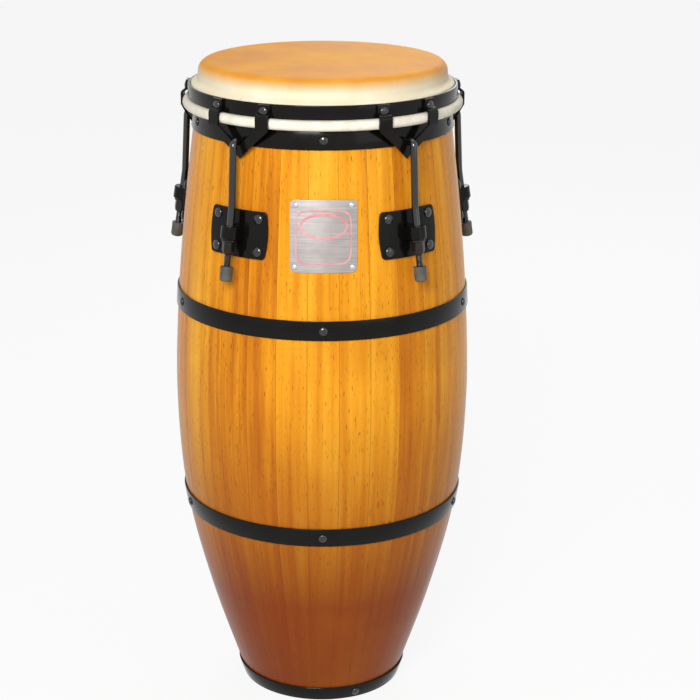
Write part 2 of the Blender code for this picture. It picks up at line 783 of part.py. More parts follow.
def hook_height():
    """Height of the hook's centre line, where it crosses the strap's crotch."""
    profile = strap_profile()
    return along(profile, path_lengths(profile), crotch_distance())[1]


def rod_points():
    """Centre line of a front lug's rod as (radius, height), from its threaded end to its hook."""
    axis_slope = math.tan(ROD_TILT)

    def axis_radius(height):
        return ROD_AXIS_RADIUS - (height - ROD_AXIS_HEIGHT) * axis_slope

    end = rod_end()
    low = (ROD_AXIS_RADIUS - end * math.sin(ROD_TILT), ROD_AXIS_HEIGHT + end * math.cos(ROD_TILT))
    bend = (axis_radius(ROD_BEND_HEIGHT), ROD_BEND_HEIGHT)
    top = (HOOK_RADIUS, hook_height())
    points = [low]
    points += rounded_corner(low, bend, top, ROD_BEND_RADIUS, ROD_BEND_STEPS)
    points += rounded_corner(bend, top, (HOOK_END_RADIUS, hook_height()), HOOK_BEND_RADIUS, HOOK_BEND_STEPS)
    return [*points, (HOOK_END_RADIUS, hook_height())]


def rounded_corner(before, corner, after, radius, steps):
    """Arc of a radius that rounds the corner between two straight stretches."""
    here = Vector(corner)
    back = (Vector(before) - here).normalized()
    on = (Vector(after) - here).normalized()
    half = back.angle(on) / 2
    centre = here + (back + on).normalized() * radius / math.sin(half)
    start = here + back * radius / math.tan(half) - centre
    end = here + on * radius / math.tan(half) - centre
    turn = start.angle_signed(end)
    return [tuple(centre + Matrix.Rotation(-turn * step / steps, 2) @ start) for step in range(steps + 1)]


def rod_end():
    """Place of the rod's lower end along its threaded axis, inside the cap."""
    return cap_top() - CAP_BORE_DEPTH + CLEARANCE


def nut_top():
    return -NOSE_HEIGHT / 2 - CLEARANCE


def cap_top():
    return nut_top() - NUT_LENGTH - THREAD_EXPOSED


def rod_mesh():
    """Round rod swept along its centre line, in the rod's own frame."""
    points = [polar(radius, 0, height) for radius, height in rod_points()]
    rings = []
    for i, point in enumerate(points):
        before = (point - points[i - 1]).normalized() if i else None
        after = (points[i + 1] - point).normalized() if i + 1 < len(points) else None
        tangent = ((before or after) + (after or before)).normalized()
        stretch = 1 / tangent.dot(after or before)
        side = Vector((1, 0, 0))
        up = tangent.cross(side)
        ring = []
        for corner in circle(ROD_RADIUS, 0, ROD_SIDES):
            ring.append(point + side * corner.x - up * corner.y * stretch)
        rings.append(ring)
    bm = bmesh.new()
    loft(bm, rings)
    bm.transform(rod_frame().inverted())
    return mesh_from(bm, "tuning_rod")


def nut_mesh():
    """Flange against the nose, long hexagon, tapered lower end, and a bore for the thread."""
    top = nut_top()
    bore = ROD_RADIUS + FACET_CLEARANCE
    hex_top = top - NUT_FLANGE_HEIGHT
    taper = top - NUT_LENGTH + NUT_TAPER_LENGTH
    bottom = top - NUT_LENGTH
    rings = [
        circle(bore, top, ROUND_SIDES),
        circle(NUT_FLANGE_RADIUS, top, ROUND_SIDES),
        circle(NUT_FLANGE_RADIUS, hex_top, ROUND_SIDES),
        hexagon(NUT_FLATS, hex_top),
        hexagon(NUT_FLATS, taper),
        circle(NUT_TAPER_RADIUS, bottom, ROUND_SIDES),
        circle(bore, bottom, ROUND_SIDES),
    ]
    bm = bmesh.new()
    loft(bm, rings, closed_path=True)
    return mesh_from(bm, "tuning_nut")


def cap_mesh():
    """Rubber cap with a blind bore, rounded at its closed end."""
    top = cap_top()
    bottom = top - CAP_LENGTH
    bore = ROD_RADIUS + FACET_CLEARANCE
    floor = top - CAP_BORE_DEPTH
    rings = [
        circle(bore, floor, ROUND_SIDES),
        circle(bore, top, ROUND_SIDES),
        circle(CAP_RADIUS, top, ROUND_SIDES),
        circle(CAP_RADIUS, bottom + CAP_ROUND, ROUND_SIDES),
        circle(CAP_RADIUS - CAP_ROUND, bottom, ROUND_SIDES),
    ]
    bm = bmesh.new()
    loft(bm, rings)
    return mesh_from(bm, "rod_cap")


def build_lugs(axis, steel, rubber):
    plate = side_plate_mesh(steel)
    rod = rod_mesh()
    nut = nut_mesh()
    cap = cap_mesh()
    for lug, azimuth in enumerate(lug_azimuths(), start=1):
        turn = Matrix.Rotation(azimuth, 4, "Z")
        add_node(f"side_plate_{lug}", plate, steel, axis, turn)
        rod_axis = add_empty(f"rod_axis_{lug}", turn @ rod_frame(), axis)
        add_node(f"tuning_rod_{lug}", rod, steel, rod_axis)
        add_node(f"tuning_nut_{lug}", nut, steel, rod_axis)
        add_node(f"rod_cap_{lug}", cap, rubber, rod_axis)


def front_reach():
    """How far the front band screw stands from the drum's axis."""
    middle = UPPER_BAND_BOTTOM + BAND_HEIGHT / 2
    return shell_radius(middle) + BAND_THICKNESS + 2 * CLEARANCE + SCREW_HEAD_HEIGHT


def rear_reach():
    """How far the rear rod's cap stands from the drum's axis."""
    bottom = cap_top() - CAP_LENGTH + CAP_ROUND
    return ROD_AXIS_RADIUS - bottom * math.sin(ROD_TILT) + CAP_RADIUS * math.cos(ROD_TILT)


def main():
    clear_scene()
    wood = make_material("wood", (0.72, 0.33, 0.07), 0.32)
    steel = make_material("black_steel", (0.012, 0.012, 0.014), 0.22)
    aluminium = make_material("aluminium", (0.72, 0.72, 0.72), 0.35, metallic=1.0)
    skin = make_material("skin", (0.86, 0.76, 0.55), 0.55)
    rubber = make_material("rubber", (0.09, 0.08, 0.07), 0.7)
    axis = add_empty("drum_axis", Matrix.Translation((0, (front_reach() - rear_reach()) / 2, 0)))
    build_shell(axis, wood)
    build_bands(axis, steel)
    build_badge(axis, aluminium)
    build_plate_bolts(axis, steel)
    build_drumhead(axis, skin, steel)
    build_crown(axis, steel)
    build_lugs(axis, steel, rubber)
    bpy.context.view_layer.update()


main()
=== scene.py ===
"""The looks of the conga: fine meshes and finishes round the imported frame.

Pieces are drawn as if the drum's axis were the Z axis, then moved to where the frame's foot band stands.
Azimuth is measured from the front, -Y, towards +X. Sizes are in metres.
"""

import math

import bmesh
import bpy
from mathutils import Matrix, Vector


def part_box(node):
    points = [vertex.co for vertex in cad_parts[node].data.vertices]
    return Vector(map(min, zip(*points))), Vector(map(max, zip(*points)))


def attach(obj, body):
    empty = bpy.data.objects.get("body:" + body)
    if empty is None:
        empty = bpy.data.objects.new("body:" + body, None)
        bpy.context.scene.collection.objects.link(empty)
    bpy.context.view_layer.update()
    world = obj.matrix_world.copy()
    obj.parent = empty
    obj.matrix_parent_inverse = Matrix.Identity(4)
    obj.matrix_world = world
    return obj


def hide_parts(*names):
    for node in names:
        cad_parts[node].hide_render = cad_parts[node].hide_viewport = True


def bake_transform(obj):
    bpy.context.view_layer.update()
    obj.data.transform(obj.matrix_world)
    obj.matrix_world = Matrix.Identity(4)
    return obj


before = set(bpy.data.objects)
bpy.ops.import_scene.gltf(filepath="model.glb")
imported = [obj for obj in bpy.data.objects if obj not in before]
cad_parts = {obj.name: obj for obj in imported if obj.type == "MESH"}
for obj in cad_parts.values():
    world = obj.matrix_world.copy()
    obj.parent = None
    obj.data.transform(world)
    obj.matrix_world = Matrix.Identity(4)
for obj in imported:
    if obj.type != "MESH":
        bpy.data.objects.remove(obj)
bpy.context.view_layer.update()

foot_low, foot_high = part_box("foot_band")
AXIS = Matrix.Translation((0, (foot_low[1] + foot_high[1]) / 2, 0))
AXIS_Y = AXIS.translation.y

# Camera of the photograph
CAMERA_DISTANCE = 2.255
CAMERA_HEIGHT = 1.133
CAMERA_SIDE = -0.019
CAMERA_SHIFT = 0.0627
CAMERA_PITCH = math.radians(17.7)
CAMERA_LENS = 102.0
SENSOR_WIDTH = 36.0

# Lamps: name, place, size and power
LAMPS = (
    ("key", (-0.5, -2.3, 1.7), 0.9, 58.0),
    ("fill", (1.7, -1.9, 1.2), 1.4, 5.0),
    ("top", (0.1, 0.2, 2.4), 1.2, 7.0),
    ("back", (0.6, 2.2, 1.8), 1.4, 14.0),
)
LAMP_TARGET = Vector((0, 0, 0.42))
WORLD_STRENGTH = 0.24
FLOOR_REACH = 12
FLOOR_GLOW = 0.88

# Gaps: between seated pieces, round the bent straps, inside a bore and round the hook
GAP = 0.0003
STRAP_GAP = 0.0005
BORE_GAP = 0.0002
HOOK_GAP = 0.0004

# Fineness of the meshes
RING_STEPS = 240
CURVE_STEP = 0.012
SMOOTH_ANGLE = math.radians(35)
BEVEL_ANGLE = math.radians(50)
BEVEL_SEGMENTS = 3

# Shell: outer radius at each height of the belly's curve
SHELL_CURVE = (
    (0.000, 0.0945),
    (0.120, 0.1342),
    (0.240, 0.1630),
    (0.365, 0.1730),
    (0.489, 0.1690),
    (0.600, 0.1593),
    (0.709, 0.1460),
    (0.762, 0.1394),
)
HEAD_TOP = 0.762
SHELL_WALL = 0.011
STAVES = 30
EDGE_ROUND = 0.0105
EDGE_BEVEL = 0.007

# Bands and their screws
BAND_HEIGHT = 0.022
BAND_THICKNESS = 0.0018
BAND_EDGE = 0.0005
BAND_BOTTOMS = {"lower": 0.2295, "upper": 0.478, "top": 0.687}
FOOT_BAND_HEIGHT = 0.018
FOOT_LIP_WIDTH = 0.010
FOOT_SCREWS = 3
FOOT_SCREW_AZIMUTH = math.radians(24)
SCREW_RADIUS = 0.0050
SCREW_HEIGHT = 0.0024
DOME_RIM = 0.2

# Badge, and its enamel lines: width, height, line width, exponent of the outline and rise above the middle
BADGE_WIDTH = 0.074
BADGE_HEIGHT = 0.080
BADGE_BOTTOM = 0.554
BADGE_THICKNESS = 0.0012
BADGE_CORNER = 0.006
BADGE_BEVEL = 0.0002
PIN_INSET = 0.006
PIN_RADIUS = 0.0030
PIN_HEIGHT = 0.0018
BORDER_STEPS = 480
BORDER_LIFT = 0.0003
BORDER_SINK = 0.00003
BORDERS = (
    (0.060, 0.058, 0.0016, 0.35, -0.001),
    (0.050, 0.026, 0.0026, 1.0, 0.011),
)

# Side plates and their bolts
LUG_COUNT = 5
LUG_SPACING = math.tau / LUG_COUNT
PLATE_BOTTOM = 0.565
PLATE_HEIGHT = 0.0525
PLATE_WIDTH = 0.072
PLATE_BOW = 0.003
PLATE_THICKNESS = 0.0028
PLATE_CORNER = 0.0022
PLATE_CORNER_SHARE = 0.06
PLATE_BEVEL = 0.0006
BOLT_SPREAD = 0.0275
BOLT_RISE = 0.018
BOLT_RADIUS = 0.0055
BOLT_HEIGHT = 0.0028
BOLT_SHANK = 0.0030
BOLT_NUT_FLATS = 0.0111
BOLT_NUT_ROUND = 0.0062
BOLT_NUT_HEIGHT = 0.005
BOLT_NUT_GAP = 0.0008
BOLT_SIDES = 24
NOSE_RADIUS = 0.010
NOSE_HEIGHT = 0.0145
NOSE_EDGE = 0.0008
NOSE_STEPS = 20

# Rod, with its axis through the nose
ROD_RADIUS = 0.00397
ROD_SIDES = 28
ROD_TILT = math.radians(9)
ROD_AXIS_RADIUS = 0.1750
ROD_AXIS_HEIGHT = 0.594
ROD_BEND_HEIGHT = 0.621
ROD_BEND_RADIUS = 0.060
HOOK_RADIUS = 0.1670
HOOK_BEND_RADIUS = 0.0062
HOOK_END_RADIUS = 0.1536
HOOK_END_EDGE = 0.0008
HOOK_END_SHARE = 0.82
THREAD_PITCH = 0.001411
THREAD_DEPTH = 0.0005
THREAD_INSET = 0.00004
THREAD_STEPS = 8
THREAD_RUNOUT = 0.002
THREAD_EXPOSED = 0.014

# Nut
NUT_LENGTH = 0.016
NUT_FLANGE_RADIUS = 0.0082
NUT_FLANGE_HEIGHT = 0.0026
NUT_FLANGE_EDGE = 0.0005
NUT_FLATS = 0.0128
NUT_CORNER_SHARE = 0.985
NUT_SHOULDER_SHARE = 0.93
NUT_NECK = 0.0002
NUT_SHOULDER = 0.0008
NUT_TAPER_LENGTH = 0.0035
NUT_TAPER_RADIUS = 0.0055
NUT_END_EDGE = 0.0003

# Rubber cap, and its lip: points by inset from the wall and depth below the mouth
CAP_RADIUS = 0.0073
CAP_LENGTH = 0.017
CAP_BORE_DEPTH = 0.012
CAP_LIP = ((0.0009, 0.0), (0.0002, 0.0004), (0.0, 0.0012), (0.0003, 0.0040))
CAP_ROUND = 0.0030
CAP_SIDES = 40

# Hoop and hide
HOOP_RADIUS = 0.1548
HOOP_HEIGHT = 0.7148
HOOP_CORE_RADIUS = 0.0042
SKIN_THICKNESS = 0.0013
SKIN_RING = 0.03
SKIN_FLARE_RADIUS = 0.0060
SKIN_STRIP_RADIUS = 0.003
SKIN_STRIP_DROP = 0.0035
SKIN_TUCK_RADIUS = 0.0028
COLLAR_TOP = 0.7385

# Crown band, straps and rivets
CROWN_INNER_RADIUS = 0.1512
CROWN_THICKNESS = 0.0032
CROWN_HEIGHT = 0.0156
CROWN_EDGE = 0.0009
STRAP_WIDTH = 0.0145
STRAP_THICKNESS = 0.0028
STRAP_SPREAD = 0.0315
STRAP_TOP_INSET = 0.0006
STRAP_SHELF_RISE = 0.0046
STRAP_KNEE_DROP = 0.0020
STRAP_BEND_RADIUS = 0.0022
STRAP_BEVEL = 0.0005
STRAP_TIP_HEIGHT = 0.6735
STRAP_TIP_RADIUS = 0.1526
TIP_DEPTH = 0.0160
ARM_SHARE = 0.7
ARM_STEPS = 10
NOTCH_STEPS = 6
RIVET_RADIUS = 0.0050
RIVET_HEIGHT = 0.0025
RIVET_TAIL_RADIUS = 0.0036
RIVET_TAIL_HEIGHT = 0.0010


def polar(radius, azimuth, height):
    return Vector((radius * math.sin(azimuth), -radius * math.cos(azimuth), height))


def lug_azimuths():
    return [LUG_SPACING / 2 + LUG_SPACING * lug for lug in range(LUG_COUNT)]


def gap_azimuths():
    return [LUG_SPACING * gap for gap in range(LUG_COUNT)]


def smooth_curve(points, place):
    """The value at a place on a smooth curve through (place, value) points, with central slopes."""
    places = [point[0] for point in points]
    values = [point[1] for point in points]
    last = len(points) - 1
    slopes = []
    for i in range(last + 1):
        before, after = max(i - 1, 0), min(i + 1, last)
        slopes.append((values[after] - values[before]) / (places[after] - places[before]))
    i = max(k for k in range(last) if k == 0 or places[k] <= place)
    width = places[i + 1] - places[i]
    t = (place - places[i]) / width
    return (
        (2 * t**3 - 3 * t**2 + 1) * values[i]
        + (t**3 - 2 * t**2 + t) * width * slopes[i]
        + (3 * t**2 - 2 * t**3) * values[i + 1]
        + (t**3 - t**2) * width * slopes[i + 1]
    )


def shell_radius(height):
    return smooth_curve(SHELL_CURVE, height)


def shell_lean(height):
    """Angle by which the shell's surface faces upwards at a height."""
    reach = 0.002
    return math.atan2(shell_radius(height - reach) - shell_radius(height + reach), 2 * reach)


def seat(azimuth, height, lift):
    """Placement on the shell: local Z points out of its surface, and lift moves along local Z."""
    place = Matrix.Translation(polar(shell_radius(height), azimuth, height))
    turn = Matrix.Rotation(azimuth, 4, "Z") @ Matrix.Rotation(math.pi / 2 - shell_lean(height), 4, "X")
    return place @ turn @ Matrix.Translation((0, 0, lift))


def curve_heights(low, high):
    steps = max(1, math.ceil((high - low) / CURVE_STEP))
    return [low + (high - low) * step / steps for step in range(steps + 1)]


def arc(centre, radius, start, end, steps):
    """Points of an arc in degrees, from start to end, both included."""
    angles = [math.radians(start + (end - start) * step / steps) for step in range(steps + 1)]
    return [(centre[0] + radius * math.cos(a), centre[1] + radius * math.sin(a)) for a in angles]


def offset_path(points, distance):
    """The path moved sideways, to its left, with mitred corners."""
    moved = []
    for i, point in enumerate(points):
        here = Vector(point)
        before = here - Vector(points[i - 1]) if i else None
        after = Vector(points[i + 1]) - here if i + 1 < len(points) else None
        first = (before or after).normalized()
        second = (after or before).normalized()
        normal = Vector((-first.y, first.x))
        mitre = (normal + Vector((-second.y, second.x))).normalized()
        moved.append(tuple(here + mitre * distance / mitre.dot(normal)))
    return moved


def rounded_corner(before, corner, after, radius, steps):
    """Arc of a radius that rounds the corner between two straight stretches."""
    here = Vector(corner)
    back = (Vector(before) - here).normalized()
    on = (Vector(after) - here).normalized()
    half = back.angle(on) / 2
    centre = here + (back + on).normalized() * radius / math.sin(half)
    start = here + back * radius / math.tan(half) - centre
    end = here + on * radius / math.tan(half) - centre
    turn = start.angle_signed(end)
    return [tuple(centre + Matrix.Rotation(-turn * step / steps, 2) @ start) for step in range(steps + 1)]


def softened(points, radius, steps=3):
    """A closed outline with each corner rounded."""
    out = []
    for i, point in enumerate(points):
        out += rounded_corner(points[i - 1], point, points[(i + 1) % len(points)], radius, steps)
    return out


def lengths_of(points):
    """Distance along a path at each of its points."""
    lengths = [0.0]
    for before, after in zip(points, points[1:]):
        lengths.append(lengths[-1] + math.dist(before, after))
    return lengths


def along(points, lengths, distance):
    i = max(k for k in range(len(points) - 1) if k == 0 or lengths[k] <= distance)
    share = (distance - lengths[i]) / (lengths[i + 1] - lengths[i])
    return tuple(Vector(points[i]).lerp(Vector(points[i + 1]), share))


def turn_into(bm, outline, steps=RING_STEPS, closed=True, matrix=None):
    """Turns (radius, height) points about Z. An open outline starts and ends on the axis."""
    on_axis = 1e-7
    count = len(outline)
    rings = []
    for radius, height in outline:
        if radius < on_axis:
            rings.append([bm.verts.new((0, 0, height))])
        else:
            ring = [polar(radius, math.tau * step / steps, height) for step in range(steps)]
            rings.append([bm.verts.new(point) for point in ring])
    for i in range(count if closed else count - 1):
        low, high = rings[i], rings[(i + 1) % count]
        for step in range(steps):
            after = (step + 1) % steps
            corners = [low[step % len(low)], low[after % len(low)]]
            corners += [high[after % len(high)], high[step % len(high)]]
            bm.faces.new(list(dict.fromkeys(corners)))
    if matrix:
        bmesh.ops.transform(bm, matrix=matrix, verts=[vert for ring in rings for vert in ring])


def loft_into(bm, rings, closed_path=False):
    """Joins rings of equal length; an open path gets a cap at each end."""
    loops = [[bm.verts.new(point) for point in ring] for ring in rings]
    pairs = list(zip(loops, loops[1:]))
    if closed_path:
        pairs.append((loops[-1], loops[0]))
    else:
        bm.faces.new(loops[0])
        bm.faces.new(reversed(loops[-1]))
    for low, high in pairs:
        for i in range(len(low)):
            j = (i + 1) % len(low)
            bm.faces.new((low[i], low[j], high[j], high[i]))


def dome_into(bm, matrix, radius, height, steps=24, rise=6):
    """A domed head with a closed underside, standing on local Z = 0."""
    outline = [(0.0, 0.0), (radius, 0.0)]
    for step in range(rise):
        angle = math.pi / 2 * step / rise
        up = DOME_RIM + (1 - DOME_RIM) * math.sin(angle)
        outline.append((radius * math.cos(angle), height * up))
    outline.append((0.0, height))
    turn_into(bm, outline, steps, closed=False, matrix=matrix)


def hexagon_ring(flats, height, rounding, steps=48):
    """A hexagon with softened corners, as a ring of points."""
    points = []
    for step in range(steps):
        angle = math.tau * step / steps
        off_flat = (angle + math.pi / 6) % (math.pi / 3) - math.pi / 6
        radius = min(flats / 2 / math.cos(off_flat), rounding)
        points.append(Vector((radius * math.cos(angle), radius * math.sin(angle), height)))
    return points


def circle_ring(radius, height, steps=48):
    angles = [math.tau * step / steps for step in range(steps)]
    return [Vector((radius * math.cos(a), radius * math.sin(a), height)) for a in angles]


def piece(name, bm, material, body, replaces=(), bevel=0.0):
    """Makes the mesh an object at the drum's place, riding on a body of the frame if one is named."""
    bmesh.ops.recalc_face_normals(bm, faces=bm.faces)
    bm.transform(AXIS)
    mesh = bpy.data.meshes.new(name)
    bm.to_mesh(mesh)
    bm.free()
    mesh.shade_smooth()
    mesh.set_sharp_from_angle(angle=SMOOTH_ANGLE)
    mesh.materials.append(material)
    obj = bpy.data.objects.new(name, mesh)
    bpy.context.scene.collection.objects.link(obj)
    if bevel:
        modifier = obj.modifiers.new("edges", "BEVEL")
        modifier.width = bevel
        modifier.segments = BEVEL_SEGMENTS
        modifier.limit_method = "ANGLE"
        modifier.angle_limit = BEVEL_ANGLE
    if body:
        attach(obj, body)
    if replaces:
        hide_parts(*replaces)
    return obj


class Nodes:
    """A short way to write a material's node graph."""

    def __init__(self, name):
        self.material = bpy.data.materials.new(name)
        self.material.use_nodes = True
        self.tree = self.material.node_tree
        self.shader = self.tree.nodes["Principled BSDF"]

    def add(self, kind, *inputs, **settings):
        node = self.tree.nodes.new(kind)
        for key, value in settings.items():
            setattr(node, key, value)
        for socket, value in zip(node.inputs, inputs):
            self.put(socket, value)
        return node.outputs[0]

    def put(self, socket, value):
        if isinstance(value, bpy.types.NodeSocket):
            self.tree.links.new(value, socket)
        elif value is not None:
            socket.default_value = value

    def math(self, operation, *values):
        return self.add("ShaderNodeMath", *values, operation=operation)

    def place(self):
        """Object coordinates measured from the drum's axis."""
        node = self.tree.nodes.new("ShaderNodeTexCoord")
        axis = (0, AXIS_Y, 0)
        return self.add("ShaderNodeVectorMath", node.outputs["Object"], axis, operation="SUBTRACT")

    def axes(self, vector):
        """The x, y and z of a vector."""
        split = self.tree.nodes.new("ShaderNodeSeparateXYZ")
        self.tree.links.new(vector, split.inputs[0])
        return split.outputs

    def noise(self, vector, scale, detail=3.0, roughness=0.5):
        node = self.tree.nodes.new("ShaderNodeTexNoise")
        self.tree.links.new(vector, node.inputs["Vector"])
        node.inputs["Scale"].default_value = scale
        node.inputs["Detail"].default_value = detail
        node.inputs["Roughness"].default_value = roughness
        return node.outputs[0]

    def stretched_noise(self, vector, scales, detail):
        """Noise with a scale of its own along x, y and z."""
        scaled = self.add("ShaderNodeVectorMath", vector, scales, operation="MULTIPLY")
        return self.noise(scaled, 1.0, detail)

    def ramp(self, factor, *stops):
        node = self.tree.nodes.new("ShaderNodeValToRGB")
        self.tree.links.new(factor, node.inputs[0])
        elements = node.color_ramp.elements
        while len(elements) < len(stops):
            elements.new(0.5)
        for element, (position, colour) in zip(elements, stops):
            element.position = position
            element.color = (*colour, 1.0)
        return node.outputs[0]

    def mix(self, factor, first, second):
        node = self.tree.nodes.new("ShaderNodeMix")
        node.data_type = "RGBA"
        self.put(node.inputs[0], factor)
        self.put(node.inputs[6], first)
        self.put(node.inputs[7], second)
        return node.outputs[2]

    def spread(self, value, low, high, to_low=0.0, to_high=1.0):
        """The value's range from low to high, laid on the range from to_low to to_high."""
        node = self.tree.nodes.new("ShaderNodeMapRange")
        self.put(node.inputs[0], value)
        for socket, number in zip(node.inputs[1:5], (low, high, to_low, to_high)):
            socket.default_value = number
        return node.outputs[0]

    def bump(self, height, distance, strength):
        node = self.tree.nodes.new("ShaderNodeBump")
        node.inputs["Strength"].default_value = strength
        node.inputs["Distance"].default_value = distance
        self.tree.links.new(height, node.inputs["Height"])
        self.tree.links.new(node.outputs[0], self.shader.inputs["Normal"])

    def finish(self, colour, roughness, **constants):
        self.put(self.shader.inputs["Base Color"], colour)
        self.put(self.shader.inputs["Roughness"], roughness)
        for key, value in constants.items():
            self.shader.inputs[key.replace("_", " ")].default_value = value
        return self.material


def wood_material():
    """Lacquered staves: each with its own tone, streaked along the grain, with short dark pores, and darker
    towards the bottom, partly a darker finish and partly painted shade.
    """
    mean_radius = 0.16
    stave_shift = 3.17
    n = Nodes("lacquered_staves")
    moved = n.place()
    x, y, z = n.axes(moved)
    angle = n.math("ARCTAN2", x, n.math("MULTIPLY", y, -1.0))
    count = n.math("ADD", n.math("MULTIPLY", angle, STAVES / math.tau), 0.5 + STAVES)
    index = n.math("FLOOR", count)
    across = n.math("FRACT", count)
    tone = n.add("ShaderNodeTexWhiteNoise", None, index, noise_dimensions="1D")
    arc_length = n.math("MULTIPLY", angle, mean_radius)
    shift = n.math("MULTIPLY", index, stave_shift)

    def grain(across_scale, along_scale, detail, roughness):
        """Noise in a stave's own place, stretched along the grain."""
        wide = n.math("MULTIPLY", arc_length, across_scale)
        long = n.math("MULTIPLY", z, along_scale)
        return n.noise(n.add("ShaderNodeCombineXYZ", wide, long, shift), 1.0, detail, roughness)

    streaks = grain(110.0, 2.6, 5.0, 0.55)
    figure = grain(34.0, 5.0, 3.0, 0.5)
    fibres = grain(900.0, 16.0, 2.0, 0.5)
    pores = grain(900.0, 110.0, 1.0, 0.4)
    flecks = grain(420.0, 40.0, 2.0, 0.5)
    blend = n.math("ADD", n.math("MULTIPLY", streaks, 0.55), n.math("MULTIPLY", figure, 0.35))
    blend = n.math("ADD", blend, n.math("MULTIPLY", tone, 0.26))
    blend = n.math("ADD", blend, n.math("MULTIPLY", fibres, 0.10))
    colour = n.ramp(
        blend,
        (0.40, (0.42, 0.105, 0.006)),
        (0.53, (0.62, 0.205, 0.008)),
        (0.64, (0.78, 0.310, 0.012)),
        (0.80, (0.90, 0.430, 0.028)),
    )
    # Darker towards the bottom: partly a darker finish low on the shell, partly painted shade where the light
    # falls off
    finish_and_shade_below = n.spread(z, 0.42, 0.14, 0.0, 0.92)
    colour = n.mix(finish_and_shade_below, colour, (0.20, 0.028, 0.003, 1.0))
    smoke = n.spread(n.noise(moved, 7.0, 3.0, 0.5), 0.50, 0.72, 0.0, 0.30)
    colour = n.mix(smoke, colour, (0.42, 0.110, 0.008, 1.0))
    colour = n.mix(n.spread(pores, 0.66, 0.74, 0.0, 0.60), colour, (0.13, 0.026, 0.004, 1.0))
    colour = n.mix(n.spread(flecks, 0.66, 0.78, 0.0, 0.40), colour, (0.28, 0.060, 0.005, 1.0))
    from_middle = n.math("ABSOLUTE", n.math("SUBTRACT", across, 0.5))
    joint = n.spread(from_middle, 0.484, 0.497)
    colour = n.mix(n.math("MULTIPLY", joint, 0.5), colour, (0.16, 0.035, 0.006, 1.0))
    n.bump(n.math("SUBTRACT", n.math("MULTIPLY", fibres, 0.25), joint), 0.00012, 0.5)
    roughness = n.spread(figure, 0.3, 0.7, 0.24, 0.36)
    return n.finish(colour, roughness, Specular_IOR_Level=0.10, Coat_Weight=0.04, Coat_Roughness=0.10)


def bare_wood_material():
    """Bare wood of the shell's inside and foot."""
    n = Nodes("bare_wood")
    grain = n.stretched_noise(n.place(), (90.0, 90.0, 4.0), 4.0)
    colour = n.ramp(grain, (0.3, (0.42, 0.22, 0.09)), (0.7, (0.62, 0.38, 0.18)))
    n.bump(grain, 0.0004, 0.4)
    return n.finish(colour, 0.7)


def black_material(name, base, roughness_low, roughness_high, metallic=0.0, shine=0.16):
    """Gloss black coating with a little orange peel and faint wear."""
    n = Nodes(name)
    moved = n.place()
    peel = n.noise(moved, 420.0, 2.0)
    smear = n.noise(moved, 26.0, 4.0, 0.6)
    fresh = (base * 1.3, base, base * 0.7)
    rubbed = (base * 2.1, base * 2.1, base * 2.2)
    colour = n.ramp(smear, (0.35, fresh), (0.75, rubbed))
    n.bump(peel, 0.00004, 0.35)
    roughness = n.spread(smear, 0.3, 0.7, roughness_low, roughness_high)
    return n.finish(colour, roughness, Metallic=metallic, Specular_IOR_Level=shine)


def hide_material():
    """Hide: amber and mottled over the top, cream down the collar and round the hoop."""
    n = Nodes("hide")
    moved = n.place()
    z = n.axes(moved)[2]
    cloud = n.noise(moved, 11.0, 5.0, 0.6)
    fine = n.noise(moved, 240.0, 3.0, 0.6)
    fleck = n.noise(moved, 70.0, 4.0, 0.7)
    top = n.ramp(
        cloud,
        (0.32, (0.68, 0.260, 0.022)),
        (0.52, (0.80, 0.350, 0.036)),
        (0.72, (0.86, 0.440, 0.066)),
    )
    collar = n.ramp(cloud, (0.35, (0.80, 0.70, 0.48)), (0.68, (0.88, 0.82, 0.66)))
    hoop = n.ramp(fleck, (0.35, (0.74, 0.68, 0.54)), (0.65, (0.86, 0.82, 0.72)))
    colour = n.mix(n.spread(z, 0.7470, 0.7590), collar, top)
    colour = n.mix(n.spread(z, 0.7245, 0.7215), colour, hoop)
    colour = n.mix(n.spread(fleck, 0.62, 0.78, 0.0, 0.35), colour, (0.45, 0.22, 0.07, 1.0))
    n.bump(fine, 0.00012, 0.5)
    return n.finish(colour, n.spread(cloud, 0.3, 0.7, 0.46, 0.60), Specular_IOR_Level=0.08)


def aluminium_material():
    """Brushed plate: fine streaks across, and light scuffs."""
    n = Nodes("brushed_plate")
    moved = n.place()
    brush = n.stretched_noise(moved, (18.0, 18.0, 1900.0), 2.0)
    scuff = n.noise(moved, 55.0, 4.0, 0.65)
    colour = n.ramp(brush, (0.3, (0.30, 0.275, 0.265)), (0.7, (0.47, 0.435, 0.42)))
    n.bump(brush, 0.00003, 0.4)
    return n.finish(colour, n.spread(scuff, 0.3, 0.7, 0.30, 0.46), Metallic=0.85)


def mottled_material(name, dark, light, scale, roughness, depth, **constants):
    """A mottled finish with a fine bump, for rubber, enamel and bright pins."""
    n = Nodes(name)
    moved = n.place()
    cloud = n.noise(moved, scale, 4.0, 0.6)
    grain = n.noise(moved, scale * 14, 2.0)
    colour = n.ramp(cloud, (0.35, dark), (0.7, light))
    n.bump(grain, depth, 0.5)
    return n.finish(colour, n.spread(cloud, 0.3, 0.7, roughness * 0.85, roughness * 1.12), **constants)


